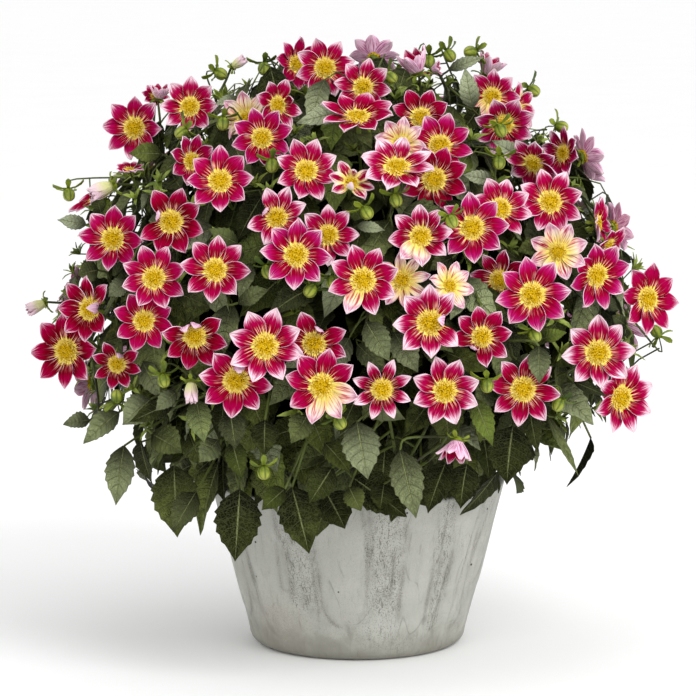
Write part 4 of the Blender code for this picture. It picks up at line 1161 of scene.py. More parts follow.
def model_blade(name, rows, columns):
    """A flat blade on a grid, 1 long along Y and 1 to each side, closed to a point at its tip."""
    deselect()
    bpy.ops.mesh.primitive_grid_add(x_subdivisions=columns, y_subdivisions=len(rows) - 1, size=2)
    blade = bpy.context.object
    blade.name = name
    numbers = rows_of(blade, len(rows))
    bpy.ops.object.mode_set(mode="EDIT")
    for row, (share, width) in enumerate(rows):
        select_points(blade, numbers[row])
        bpy.ops.transform.resize(value=(max(width, 0.01), 1, 1), center_override=(0, 0, 0))
        bpy.ops.transform.translate(value=(0, share - (2 * row / (len(rows) - 1) - 1), 0))
    select_points(blade, numbers[-1])
    bpy.ops.mesh.merge(type="CENTER")
    bpy.ops.object.mode_set(mode="OBJECT")
    mesh = blade.data
    for loop, corner in zip(mesh.loops, mesh.uv_layers.active.data):
        corner.uv.y = mesh.vertices[loop.vertex_index].co.y
    return Pattern(blade, rows)


class Pattern:
    """A piece modelled once, from which copies are shaped, each with its own mesh."""

    def __init__(self, piece, rows=None):
        self.mesh = piece.data.copy()
        bpy.data.objects.remove(piece)
        points = np.empty(len(self.mesh.vertices) * 3)
        self.mesh.vertices.foreach_get("co", points)
        self.points = points.reshape(-1, 3)
        if rows:
            shares, widths = zip(*rows)
            here = np.interp(self.points[:, 1], shares, widths)
            self.across = self.points[:, 0] / np.maximum(here, 0.02)
            self.share = self.points[:, 1]

    def copy(self, points, materials, look=None, named="", slot=0):
        """A copy with its vertices at the points given, and its looks as an attribute."""
        mesh = self.mesh.copy()
        mesh.polygons.foreach_set("material_index", [slot] * len(mesh.polygons))
        mesh.vertices.foreach_set("co", np.asarray(points, np.float32).ravel())
        if look is not None:
            tint = mesh.attributes.new(named, "FLOAT_COLOR", "POINT")
            every = np.broadcast_to(np.asarray(look, np.float32), (len(mesh.vertices), 4))
            tint.data.foreach_set("color", every.ravel())
        for material in materials:
            mesh.materials.append(material)
        piece = bpy.data.objects.new("copy", mesh)
        bpy.context.scene.collection.objects.link(piece)
        return piece


def joined(pieces, name):
    """The copies as one object."""
    deselect()
    for piece in pieces:
        piece.select_set(True)
    bpy.context.view_layer.objects.active = pieces[0]
    if len(pieces) > 1:
        bpy.ops.object.join()
    whole = bpy.context.view_layer.objects.active
    whole.name = name
    whole.data.name = name
    return whole


def thickened(piece, thickness, back):
    """Gives the blades a body, with the material of the back in the slot back places on."""
    pick(piece)
    body = piece.modifiers.new("body", "SOLIDIFY")
    body.thickness = thickness
    body.offset = -1
    body.material_offset = back
    body.material_offset_rim = back
    bpy.ops.object.modifier_apply(modifier="body")
    return piece


def in_place(place, points):
    """Points of a piece's own space, set in the plant."""
    turn = np.array(place.to_3x3())
    return points @ turn.T + np.array(place.translation)


def curved_blade(pattern, start, angle, length, width, rise, curl, cup, roll=0.0, power=1.0, furrow=0.0):
    """A blade that leaves the middle at a clock angle, its tilt going from rise to curl along it."""
    fine = np.linspace(0, 1, BLADE_STEPS + 1)
    tilt = np.radians(rise + (curl - rise) * fine**power)
    step = length / BLADE_STEPS
    out, high = (first + np.concatenate(([0], np.cumsum(part((tilt[1:] + tilt[:-1]) / 2)))) * step
                 for first, part in zip(start, (np.cos, np.sin)))
    out, high, tilt = (np.interp(pattern.share, fine, each)[:, None] for each in (out, high, tilt))
    forth = np.array([math.sin(angle), math.cos(angle), 0])
    side = np.array([math.cos(angle), -math.sin(angle), 0])
    up = np.array([0, 0, 1.0])
    normal = up * np.cos(tilt) - forth * np.sin(tilt)
    lean = math.radians(roll)
    normal, side = (normal * math.cos(lean) - side * math.sin(lean),
                    side * math.cos(lean) + normal * math.sin(lean))
    across = pattern.across[:, None]
    height = cup * across**2 * (CUP_BASE + (1 - CUP_BASE) * pattern.share[:, None])
    height = height + furrow * np.cos(PETAL_FURROWS * math.pi * across) * (1 - pattern.share[:, None] ** 3)
    return forth * out + up * high + side * pattern.points[:, :1] * width + normal * height * width


def leaf_surface(pattern, length, width, droop, fold, wave, twist, phase):
    """A leaf along Z with its upper face towards +Y: folded along its middle, drooping, waved at its edge."""
    share = pattern.share
    across = pattern.across
    half = -pattern.points[:, 0] * width / 2
    lift = fold * np.abs(half) - droop * length * share**2
    lift = lift + wave * width * np.sin(share * EDGE_WAVES + phase + np.sign(across) * WAVE_SHIFT) * across**2
    turn = twist * share
    x = half * np.cos(turn) - lift * np.sin(turn)
    y = half * np.sin(turn) + lift * np.cos(turn)
    return np.stack((x, y, share * length), axis=1)


def toothed(rows, teeth):
    """Rows of a leaf with the widths of its form, wider at each tooth and narrower after it."""
    shares, widths = zip(*LEAF_FORM)
    made = []
    for k, share in enumerate(rows):
        width = float(np.interp(share, shares, widths))
        if share in teeth:
            width *= TOOTH_PEAK
        elif k and rows[k - 1] in teeth:
            width *= TOOTH_VALLEY
        made.append((share, width))
    return made


def model_disc():
    """A dome packed with florets on a golden-angle spiral, for a bloom of radius 1."""
    deselect()
    bpy.ops.mesh.primitive_uv_sphere_add(segments=20, ring_count=8, radius=DISC_SHARE, location=(0, 0, 0))
    sphere = bpy.context.object
    bpy.ops.object.mode_set(mode="EDIT")
    bpy.ops.transform.resize(value=(1, 1, DISC_HEIGHT), center_override=(0, 0, 0))
    bpy.ops.transform.translate(value=(0, 0, DISC_LIFT))
    bpy.ops.object.mode_set(mode="OBJECT")
    closed = model_floret(*CLOSED_FLORET, False)
    opened = model_floret(*OPEN_FLORET, True)
    dome = Pattern(sphere)
    copies = [dome.copy(dome.points, (), DOME_LOOK, "floret_look")]
    chance = random.Random(LOOK_SEED)
    for k in range(FLORETS):
        share = math.sqrt((k + 0.5) / FLORETS)
        angle = GOLDEN_ANGLE * k
        radius = DISC_SHARE * share * DISC_PACKING
        height = DISC_LIFT + DISC_HEIGHT * DISC_SHARE * math.sqrt(max(1 - share * share, 0))
        lean = math.radians(FLORET_LEAN) * share**2 + chance.uniform(-FLORET_SWAY, FLORET_SWAY)
        way = Vector((math.sin(angle) * math.sin(lean), math.cos(angle) * math.sin(lean), math.cos(lean)))
        foot = Vector((radius * math.sin(angle), radius * math.cos(angle), height))
        place = placed(foot, way, Vector((0.3, 1, 0)))
        floret = opened if share > OPEN_FLORETS else closed
        size = chance.uniform(*FLORET_SIZE)
        look = (chance.random(), share, 0, 1)
        copies.append(floret.copy(in_place(place, floret.points * size), (), look, "floret_look"))
    return Pattern(joined(copies, "disc_pattern"))


def model_floret(foot, top, height, is_open):
    """A five-sided tube, its mouth sunk where it is open."""
    deselect()
    bpy.ops.mesh.primitive_cone_add(vertices=FLORET_SIDES, radius1=foot, radius2=top, depth=height,
                                    location=(0, 0, height / 2))
    floret = bpy.context.object
    bpy.ops.object.mode_set(mode="EDIT")
    form = bmesh.from_edit_mesh(floret.data)
    for face in form.faces:
        face.select = face.normal.z > 0.9
    bmesh.update_edit_mesh(floret.data)
    if is_open:
        bpy.ops.mesh.inset(thickness=top * MOUTH_RIM, depth=0)
        bpy.ops.transform.translate(value=(0, 0, -MOUTH_DEPTH))
    else:
        bpy.ops.mesh.merge(type="CENTER")
    bpy.ops.object.mode_set(mode="OBJECT")
    return Pattern(floret)


def model_turned(name, profile, sides):
    """A circle extruded and resized along a profile of radius and height, closed at both ends."""
    deselect()
    radius, height = profile[0]
    bpy.ops.mesh.primitive_circle_add(vertices=sides, radius=radius, location=(0, 0, height),
                                      fill_type="NGON")
    piece = bpy.context.object
    piece.name = name
    pick(piece)
    bpy.ops.object.transform_apply(location=True)
    bpy.ops.object.mode_set(mode="EDIT")
    bpy.ops.mesh.select_all(action="SELECT")
    for wide, high in profile[1:]:
        bpy.ops.mesh.extrude_region_move(TRANSFORM_OT_translate={"value": (0, 0, high - height)})
        size = wide / radius
        bpy.ops.transform.resize(value=(size, size, 1), center_override=(0, 0, 0))
        radius, height = wide, high
    bpy.ops.mesh.select_all(action="SELECT")
    bpy.ops.mesh.normals_make_consistent(inside=False)
    bpy.ops.object.mode_set(mode="OBJECT")
    return piece


def smooth_way(path, steps):
    """Points on a smooth curve through those of a path."""
    points = [Vector(p) for p in path]
    ends = [points[0] * 2 - points[1]] + points + [points[-1] * 2 - points[-2]]
    way = []
    for k in range(1, len(ends) - 2):
        a, b, c, d = ends[k - 1:k + 3]
        for i in range(steps):
            t = i / steps
            way.append((b * 2 + (c - a) * t + (a * 2 - b * 5 + c * 4 - d) * t * t
                        + (b * 3 - a - c * 3 + d) * t**3) / 2)
    return way + [points[-1]]


def stalks_mesh(name, ways, sides, material):
    """Round stalks along ways with a radius at each end, as one mesh."""
    line = bpy.data.curves.new(name, "CURVE")
    line.dimensions = "3D"
    line.bevel_depth = 1.0
    line.bevel_resolution = sides
    line.use_fill_caps = True
    for points, first, last in ways:
        spline = line.splines.new("POLY")
        spline.points.add(len(points) - 1)
        for k, point in enumerate(points):
            spline.points[k].co = (*point, 1)
            spline.points[k].radius = first + (last - first) * k / (len(points) - 1)
    line.materials.append(material)
    piece = bpy.data.objects.new(name, line)
    bpy.context.scene.collection.objects.link(piece)
    pick(piece)
    bpy.ops.object.convert(target="MESH")
    return bpy.context.object


class Value:
    """A number of a node tree, worked on with plain arithmetic."""

    def __init__(self, recipe, socket):
        self.recipe = recipe
        self.socket = socket

    def __add__(self, other):
        return self.recipe.math("ADD", self, other)

    def __sub__(self, other):
        return self.recipe.math("SUBTRACT", self, other)

    def __rsub__(self, other):
        return self.recipe.math("SUBTRACT", other, self)

    def __mul__(self, other):
        return self.recipe.math("MULTIPLY", self, other)

    def __truediv__(self, other):
        return self.recipe.math("DIVIDE", self, other)

    def __pow__(self, other):
        return self.recipe.math("POWER", self, other)

    def __abs__(self):
        return self.recipe.math("ABSOLUTE", self)

    def clamped(self):
        """The value kept between 0 and 1."""
        self.socket.node.use_clamp = True
        return self

    def band(self, low, high, start=0.0, end=1.0):
        """Goes smoothly from start to end while the value goes from low to high."""
        made = self.recipe.node("ShaderNodeMapRange", interpolation_type="SMOOTHSTEP")
        for socket, given in zip(made.inputs, (self, low, high, start, end)):
            self.recipe.feed(socket, given)
        return Value(self.recipe, made.outputs[0])


class Recipe:
    """Adds nodes to a material's or a group's tree and joins their sockets."""

    def __init__(self, tree):
        self.tree = tree

    def node(self, kind, **settings):
        made = self.tree.nodes.new(kind)
        for name, value in settings.items():
            setattr(made, name, value)
        return made

    def feed(self, socket, value):
        if isinstance(value, Value):
            value = value.socket
        if isinstance(value, bpy.types.NodeSocket):
            self.tree.links.new(value, socket)
        else:
            socket.default_value = value

    def math(self, operation, *values):
        made = self.node("ShaderNodeMath", operation=operation)
        for socket, value in zip(made.inputs, values):
            self.feed(socket, value)
        return Value(self, made.outputs[0])

    def values(self, sockets):
        """The sockets by name, ready for arithmetic."""
        return {socket.name: Value(self, socket) for socket in sockets}

    def mix(self, share, first, second, kind="MIX"):
        made = self.node("ShaderNodeMix", data_type="RGBA", blend_type=kind)
        self.feed(made.inputs[0], share)
        self.feed(made.inputs[6], first)
        self.feed(made.inputs[7], second)
        return made.outputs[2]

    def noise(self, vector, scale, detail=2.0, rough=0.5):
        made = self.node("ShaderNodeTexNoise")
        self.give(made.inputs, Vector=vector, Scale=scale, Detail=detail, Roughness=rough)
        return Value(self, made.outputs[0])

    def vector(self, x, y, z):
        made = self.node("ShaderNodeCombineXYZ")
        for socket, value in zip(made.inputs, (x, y, z)):
            self.feed(socket, value)
        return made.outputs[0]

    def parts(self, vector):
        made = self.node("ShaderNodeSeparateXYZ")
        self.feed(made.inputs[0], vector)
        return [Value(self, socket) for socket in made.outputs]

    def blend(self, value, low, high, first, second):
        """From the first colour to the second while the value goes from low to high."""
        return self.mix(value.band(low, high), first, second)

    def shaded(self, body, shade):
        """A colour times a grey."""
        return self.mix(1.0, body, self.vector(shade, shade, shade), "MULTIPLY")

    def give(self, sockets, **values):
        for name, value in values.items():
            self.feed(sockets[name], value)

    def group(self, tree, **values):
        made = self.node("ShaderNodeGroup", node_tree=tree)
        self.give(made.inputs, **values)
        return self.values(made.outputs)

    def surface(self, colour, roughness, height=None, depth=0.001, strength=0.5, specular=0.4):
        """The shader of the finish, with its relief as a bump."""
        shader = self.node("ShaderNodeBsdfPrincipled")
        self.feed(shader.inputs["Base Color"], colour)
        self.feed(shader.inputs["Roughness"], roughness)
        shader.inputs["Specular IOR Level"].default_value = specular
        if height is not None:
            bump = self.node("ShaderNodeBump")
            bump.inputs["Strength"].default_value = strength
            bump.inputs["Distance"].default_value = depth
            self.feed(bump.inputs["Height"], height)
            self.feed(shader.inputs["Normal"], bump.outputs[0])
        output = self.node("ShaderNodeOutputMaterial")
        self.feed(output.inputs["Surface"], shader.outputs[0])


def colour(red, green, blue):
    return (red, green, blue, 1.0)


CRIMSON = colour(0.262, 0.0008, 0.017)
DEEP_CRIMSON = colour(0.120, 0.0005, 0.004)
MAGENTA = colour(0.345, 0.0015, 0.055)
VIOLET = colour(0.41, 0.012, 0.150)
PINK = colour(0.58, 0.19, 0.32)
PETAL_WHITE = colour(0.86, 0.66, 0.72)
CREAM = colour(0.88, 0.70, 0.46)
GREEN_CREAM = colour(0.66, 0.66, 0.30)
CORAL = colour(0.55, 0.09, 0.10)
LEMON = colour(0.88, 0.70, 0.15)
PEACH = colour(0.88, 0.48, 0.36)
GOLD = colour(0.72, 0.48, 0.006)
OCHRE = colour(0.17, 0.075, 0.001)
LILAC = colour(0.93, 0.62, 0.78)
LILAC_VEIN = colour(0.42, 0.05, 0.22)
# Painted shade of the leaves deep inside the plant
LEAF_PAINTED_SHADE = colour(0.0022, 0.0032, 0.0006)
LEAF_DARK = colour(0.014, 0.020, 0.0014)
LEAF_GREEN = colour(0.088, 0.107, 0.023)
# Painted grey sheen of leaves that catch the light
LEAF_PAINTED_SHEEN = colour(0.238, 0.262, 0.170)
LEAF_FRESH = colour(0.095, 0.135, 0.018)
LEAF_VEIN = colour(0.26, 0.29, 0.12)
LEAF_UNDER = colour(0.058, 0.073, 0.026)
BUD_GREEN = colour(0.25, 0.31, 0.024)
BUD_PALE = colour(0.50, 0.52, 0.10)
BUD_SEAM = colour(0.050, 0.080, 0.008)
BRACT_GREEN = colour(0.045, 0.075, 0.012)
SPROUT_GREEN = colour(0.075, 0.108, 0.016)
SPROUT_PALE = colour(0.30, 0.37, 0.065)
STALK_GREEN = colour(0.085, 0.110, 0.024)
STALK_DARK = colour(0.022, 0.020, 0.010)
CONCRETE = colour(0.375, 0.377, 0.338)
CONCRETE_PALE = colour(0.485, 0.489, 0.443)
CONCRETE_DARK = colour(0.19, 0.187, 0.165)
CONCRETE_FOOT = colour(0.215, 0.205, 0.165)
CONCRETE_WET = colour(0.1, 0.096, 0.082)
CONCRETE_PINK = colour(0.35, 0.305, 0.255)
# Painted shade inside the pot's pits
PIT_PAINTED_SHADE = colour(0.03, 0.03, 0.028)
SOIL_DARK = colour(0.020, 0.013, 0.008)
SOIL_BROWN = colour(0.055, 0.034, 0.020)
FLOOR_WHITE = colour(0.97, 0.97, 0.97)


def new_group(name, numbers, made):
    """A node group that takes a place and numbers with their start values, and gives the numbers made."""
    tree = bpy.data.node_groups.new(name, "ShaderNodeTree")
    tree.interface.new_socket("Place", in_out="INPUT", socket_type="NodeSocketVector")
    for label, value in numbers.items():
        tree.interface.new_socket(label, in_out="INPUT", socket_type="NodeSocketFloat").default_value = value
    for label in made:
        tree.interface.new_socket(label, in_out="OUTPUT", socket_type="NodeSocketFloat")
    recipe = Recipe(tree)
    given = recipe.values(recipe.node("NodeGroupInput").outputs)
    return tree, recipe, given, recipe.node("NodeGroupOutput").inputs


def blade_lines_group():
    """Place on a petal or bract: closeness to its edge, streaks along it and its two grooves."""
    tree, recipe, given, out = new_group(
        "blade_lines", {"Seed": 0.0, "Count": 9.0}, ("Edge", "Along", "Streak", "Fine", "Groove"))
    across, share, _ = recipe.parts(given["Place"])
    edge = abs(across * 2.0 - 1.0)
    far = given["Seed"] * 61.0
    wide = across * given["Count"]
    streak = recipe.noise(recipe.vector(wide, share * 1.3, far), 1.0, 2.0)
    fine = recipe.noise(recipe.vector(wide * 3.2, share * 1.8, far), 1.0, 1.0)
    groove = abs(edge - 0.36).band(0.0, 0.09, 1.0, 0.0)
    recipe.give(out, Edge=edge, Along=share, Streak=streak, Fine=fine, Groove=groove)
    return tree


def leaf_lines_group():
    """Veins of a leaf: its midrib, the side veins that curve to its teeth, and the cells between."""
    tree, recipe, given, out = new_group(
        "leaf_lines", {"Seed": 0.0}, ("Midrib", "Veins", "Cells", "Patches", "Edge", "Along", "Quilt"))
    across, share, _ = recipe.parts(given["Place"])
    edge = abs(across * 2.0 - 1.0)
    midrib = edge.band(0.015, 0.075, 1.0, 0.0)
    bent = edge ** 1.4 * 0.16
    off = abs(recipe.math("FRACT", (share - bent) * 7.0) - 0.5)
    thin = 0.085 - edge * 0.05
    veins = (1.0 - off / thin).clamped() * edge.band(0.75, 1.0, 1.0, 0.0)
    far = given["Seed"] * 47.0
    place = recipe.vector(across * 9.0, share * 16.0, far)
    cells = recipe.node("ShaderNodeTexVoronoi", feature="DISTANCE_TO_EDGE")
    recipe.feed(cells.inputs["Vector"], place)
    cells.inputs["Scale"].default_value = 1.6
    patches = recipe.noise(place, 0.22, 3.0)
    recipe.give(out, Midrib=midrib, Veins=veins, Cells=cells.outputs["Distance"], Patches=patches, Edge=edge,
                Along=share, Quilt=recipe.math("SQRT", off))
    return tree


def mottle_group():
    """Soft patches and fine grain in the piece's own space."""
    tree, recipe, given, out = new_group("mottle", {"Size": 50.0, "Grain": 900.0}, ("Patches", "Grain"))
    recipe.give(out, Patches=recipe.noise(given["Place"], given["Size"], 4.0, 0.6),
                Grain=recipe.noise(given["Place"], given["Grain"], 2.0, 0.6))
    return tree


class Finishes:
    """The materials of the plant and its pot."""

    def __init__(self):
        self.blade_lines = blade_lines_group()
        self.leaf_lines = leaf_lines_group()
        self.mottle = mottle_group()
        self.petal = (self.make_petal_face(), self.make_petal_back())
        self.floret = self.make_floret()
        # The third leaf finish, without any reflection, is for leaves painted dark as shade deep in the plant
        self.leaf = (self.make_leaf("leaf_face", False), self.make_leaf("leaf_back", True),
                     self.make_leaf("leaf_painted_shade", False, 0.0))
        self.sprout = self.make_patched("sprout", SPROUT_GREEN, SPROUT_PALE, 45.0)
        self.bract = self.make_patched("bract", BRACT_GREEN, BUD_GREEN, 26.0)
        self.bud = self.make_bud()
        self.stalk = self.make_patched("stalk", STALK_GREEN, STALK_DARK, 30.0, 1100.0, (0.42, 0.66),
                                       (0.2, 0.38), (0.0003, 0.4, 0.15))
        self.pot = self.make_pot()
        self.soil = self.make_patched("soil", SOIL_DARK, SOIL_BROWN, 260.0, 900.0, (0.35, 0.65), (0.0, 0.85),
                                      (0.002, 0.8, 0.2))
        self.floor = self.make_floor()

    def start(self, name):
        material = bpy.data.materials.new(name)
        material.use_nodes = True
        material.node_tree.nodes.clear()
        return material, Recipe(material.node_tree)

    def looks(self, recipe, name):
        """The looks kept with each copy: its three values and its fourth."""
        made = recipe.node("ShaderNodeAttribute", attribute_name=name)
        red, green, blue = recipe.parts(made.outputs["Vector"])
        return red, green, blue, Value(recipe, made.outputs["Alpha"])

    def own_map(self, recipe):
        return recipe.node("ShaderNodeUVMap", uv_map="UVMap").outputs[0]

    def own_space(self, recipe):
        return recipe.node("ShaderNodeTexCoord").outputs["Object"]

    def mottled(self, recipe, size, grain):
        return recipe.group(self.mottle, Place=self.own_space(recipe), Size=size, Grain=grain)

    def make_petal_face(self):
        material, recipe = self.start("petal_face")
        seed, pale, tip, tone = self.looks(recipe, "petal_look")
        lines = recipe.group(self.blade_lines, Place=self.own_map(recipe), Seed=seed, Count=8.0)
        edge, share, streak, fine, groove = (lines[n] for n in ("Edge", "Along", "Streak", "Fine", "Groove"))
        # How near to the white tip a place is: the white comes down the edges and between the veins
        reach = edge ** 3.0 * 0.13 + share
        reach = reach + (streak - 0.5) * 0.45 + (fine - 0.5) * 0.46 + (tip - 0.5) * 0.42
        # The petal's own red, with painted shade where the next petal covers its edge
        heart = recipe.blend(tone, 0.0, 0.5, DEEP_CRIMSON, CRIMSON)
        middle = recipe.blend(tone, 0.1, 0.5, CRIMSON, MAGENTA)
        outer = recipe.blend(tone, 0.45, 1.0, MAGENTA, VIOLET)
        body = recipe.blend(share, 0.30, 0.68, heart, middle)
        body = recipe.blend(reach, 0.46, 0.78, body, outer)
        # Painted shade: deep crimson along the edge near the base, where the next petal overlaps
        under = edge.band(0.66, 1.0) * share.band(0.3, 0.66, 0.75, 0.0)
        body = recipe.mix(under, body, DEEP_CRIMSON)
        # Pale petals: cream with coral streaks along their middle
        wash = streak * 0.9 + edge * 0.5
        low = 1.2 - pale * 1.15
        washed = wash.band(low, low + 0.25) * pale.band(0.02, 0.12)
        cream = recipe.blend(share, 0.3, 0.9, CREAM, PETAL_WHITE)
        cream = recipe.blend(share, 0.10, 0.50, LEMON, cream)
        blush = recipe.blend(streak, 0.30, 0.52, CORAL, cream)
        body = recipe.mix(washed, body, blush)
        # Thin pale lines in the grooves, from the disc out
        line = groove * share.band(0.2, 0.7, 0.4, 0.0) * fine.band(0.35, 0.65)
        body = recipe.mix(line, body, PINK)
        # Pink, then white, at the tip and as a line down the edges
        body = recipe.blend(reach, 0.70, 0.90, body, PINK)
        body = recipe.blend(reach, 0.82, 1.02, body, PETAL_WHITE)
        rim = edge.band(0.91, 0.99) * share.band(0.38, 0.72, 0.0, 0.65) * streak.band(0.3, 0.6, 0.3, 1.0)
        body = recipe.mix(rim, body, PETAL_WHITE)
        # Yellow spikes round the disc
        edge_in = share - (fine * 0.38 + groove * 0.05)
        fringe = edge_in.band(-0.08, 0.2, 0.9, 0.0) * fine.band(0.54, 0.66)
        body = recipe.mix(fringe, body, PEACH)
        body = recipe.mix(edge_in.band(-0.09, -0.06, 1.0, 0.0), body, LEMON)
        # Painted shade and light in fine streaks along the petal
        body = recipe.shaded(body, fine * 0.8 + 0.62)
        recipe.surface(body, streak * 0.16 + 0.46, fine * 0.5 - groove * 0.6, 0.0012, 0.8, 0.0)
        return material

    def make_petal_back(self):
        material, recipe = self.start("petal_back")
        seed, pale, _, _ = self.looks(recipe, "petal_look")
        lines = recipe.group(self.blade_lines, Place=self.own_map(recipe), Seed=seed, Count=9.0)
        edge, share, streak, fine = (lines[n] for n in ("Edge", "Along", "Streak", "Fine"))
        vein = fine.band(0.47, 0.6) * share.band(0.55, 1.0, 0.9, 0.3)
        body = recipe.mix(vein, LILAC, LILAC_VEIN)
        blush = streak.band(0.45, 0.7) * edge.band(0.3, 0.95, 0.3, 0.0)
        body = recipe.mix(blush, body, VIOLET)
        body = recipe.blend(pale, 0.1, 0.7, body, PETAL_WHITE)
        body = recipe.mix(share.band(0.7, 1.0, 0.0, 0.7), body, PETAL_WHITE)
        low = pale.band(0.1, 0.5) * share.band(0.25, 0.85, 1.0, 0.0)
        body = recipe.mix(low, body, GREEN_CREAM)
        recipe.surface(body, streak * 0.15 + 0.5, fine, 0.0008, 0.7, 0.06)
        return material

    def make_floret(self):
        material, recipe = self.start("disc_floret")
        seed, ring_share, _, _ = self.looks(recipe, "floret_look")
        mottle = self.mottled(recipe, 620.0, 2600.0)
        near = (seed - 0.5) * 0.35 + ring_share
        body = recipe.blend(near, 0.58, 0.80, GOLD, LEMON)
        dull = mottle["Patches"].band(0.53, 0.57) * near.band(0.5, 0.75, 0.9, 0.0)
        body = recipe.mix(dull, body, OCHRE)
        body = recipe.mix(seed.band(0.8, 0.9, 0.0, 0.5), body, LEMON)
        recipe.surface(body, 0.62, mottle["Grain"], 0.0006, 0.6, 0.08)
        return material

    def make_leaf(self, name, under, specular=0.05):
        material, recipe = self.start(name)
        seed, light, grey, fresh = self.looks(recipe, "leaf_look")
        lines = recipe.group(self.leaf_lines, Place=self.own_map(recipe), Seed=seed)
        parts = ("Midrib", "Veins", "Cells", "Patches", "Edge")
        midrib, veins, cells, patches, edge = (lines[part] for part in parts)
        # Painted shade and light: dark at the leaf's base, where the leaves above shade it, lighter to its
        # tip, and darker or lighter for each leaf by its seed
        shade = lines["Along"].band(0.0, 0.75, 0.18, 1.42) * seed.band(0.0, 1.0, 0.28, 1.85)
        body = recipe.blend(patches, 0.30, 0.72, LEAF_DARK, LEAF_GREEN)
        # Painted shade: leaves deep inside the plant go near black
        body = recipe.mix(light.band(-1.0, 0.0, 1.0, 0.0), body, LEAF_PAINTED_SHADE)
        body = recipe.mix((light * 0.75).clamped(), body, LEAF_GREEN)
        # Painted grey sheen of leaves that catch the light
        body = recipe.mix((grey * 0.8).clamped(), body, LEAF_PAINTED_SHEEN)
        body = recipe.mix(fresh, body, LEAF_FRESH)
        if under:
            body = recipe.mix(0.65, body, LEAF_UNDER)
        body = recipe.shaded(body, shade)
        # Veins fade out on leaves painted dark as shade
        clear = light.band(-0.6, 0.2)
        body = recipe.mix(clear * cells.band(0.02, 0.2, 0.1, 0.0), body, LEAF_VEIN)
        body = recipe.mix(clear * (veins * 0.42), body, LEAF_VEIN)
        body = recipe.mix(clear * (midrib * 0.75), body, LEAF_VEIN)
        body = recipe.mix(edge.band(0.93, 1.0, 0.0, 0.35), body, STALK_DARK)
        height = cells.band(0.0, 0.35) * 0.5 - (veins * 0.7 + midrib) + lines["Quilt"]
        if under:
            height = height * -1.0
        recipe.surface(body, patches * 0.2 + 0.38, height, 0.0026, 0.9, specular)
        return material

    def make_patched(self, name, first, second, size, grain=1500.0, patches=(0.35, 0.65), rough=(0.2, 0.35),
                     relief=(0.0003, 0.4, 0.2)):
        """Two colours in soft patches, with a fine grain."""
        material, recipe = self.start(name)
        mottle = self.mottled(recipe, size, grain)
        body = recipe.mix(mottle["Patches"].band(*patches), first, second)
        scale, least = rough
        recipe.surface(body, mottle["Patches"] * scale + least, mottle["Grain"], *relief)
        return material

    def make_bud(self):
        material, recipe = self.start("bud")
        seam, height, _, _ = self.looks(recipe, "bud_look")
        mottle = self.mottled(recipe, 160.0, 1500.0)
        body = recipe.blend(mottle["Patches"], 0.35, 0.65, BUD_GREEN, LEAF_FRESH)
        body = recipe.mix(height.band(0.35, 1.0, 0.0, 0.55), body, BUD_PALE)
        body = recipe.mix(seam.band(0.45, 1.0, 0.0, 0.75), body, BUD_SEAM)
        recipe.surface(body, mottle["Patches"] * 0.2 + 0.35, mottle["Grain"] - seam, 0.0006, 0.6, 0.2)
        return material

    def make_pot(self):
        material, recipe = self.start("pot_concrete")
        outlines_and_groove_shade, pale, speckled, _ = self.looks(recipe, "pot_look")
        space = self.own_space(recipe)
        mottle = recipe.group(self.mottle, Place=space, Size=22.0, Grain=1300.0)
        x, y, z = recipe.parts(space)

        def drawn_out(around, upright):
            """The piece's own space, drawn out along its height."""
            return recipe.vector(x * around, y * around, z * upright)

        runs = recipe.noise(drawn_out(120.0, 14.0), 1.0, 5.0, 0.62)
        specks = recipe.noise(space, 1050.0, 3.0, 0.7)
        body = recipe.blend(mottle["Patches"], 0.35, 0.68, CONCRETE, CONCRETE_PALE)
        body = recipe.mix(runs.band(0.5, 0.7, 0.0, 0.35), body, CONCRETE_DARK)
        body = recipe.mix(pale * 0.6, body, CONCRETE_PALE)
        # Thin upright streaks and fine speckles, both gathered in zones
        zones = recipe.noise(space, 24.0, 3.0, 0.6) * 0.5 + speckled * 0.45 + outlines_and_groove_shade * 0.18
        threads = recipe.noise(drawn_out(430.0, 20.0), 1.0, 4.0, 0.7)
        threads = threads.band(0.55, 0.62) * zones.band(0.4, 0.6, 0.08, 0.85)
        body = recipe.mix(threads, body, CONCRETE_DARK)
        # Dark outlines of the runs and painted shade in the grooves, in speckles
        body = recipe.mix(outlines_and_groove_shade * specks.band(0.4, 0.56, 0.35, 1.0), body, CONCRETE_WET)
        # Thin outlines of runs that dried over each other
        level = recipe.math("FRACT", recipe.noise(drawn_out(26.0, 4.0), 1.0, 2.0, 0.4) * 9.0)
        outline = abs(level - 0.5).band(0.015, 0.07, 1.0, 0.0) * runs.band(0.46, 0.6)
        body = recipe.mix(outline * 0.22, body, CONCRETE_WET)
        dots = specks.band(0.555, 0.6) * zones.band(0.36, 0.58, 0.22, 0.95)
        body = recipe.mix(dots, body, CONCRETE_WET)
        # A warm stain at the lower left of the front, and a darker foot
        away = recipe.node("ShaderNodeVectorMath", operation="DISTANCE")
        recipe.feed(away.inputs[0], space)
        away.inputs[1].default_value = (-0.080, -0.085, 0.032)
        warm = Value(recipe, away.outputs["Value"]).band(0.01, 0.05, 0.8, 0.0) * specks.band(0.42, 0.58)
        body = recipe.mix(warm, body, CONCRETE_PINK)
        foot = mottle["Patches"] * 0.04 + z + specks * 0.03
        body = recipe.mix(foot.band(0.034, 0.078, 0.72, 0.0), body, CONCRETE_FOOT)
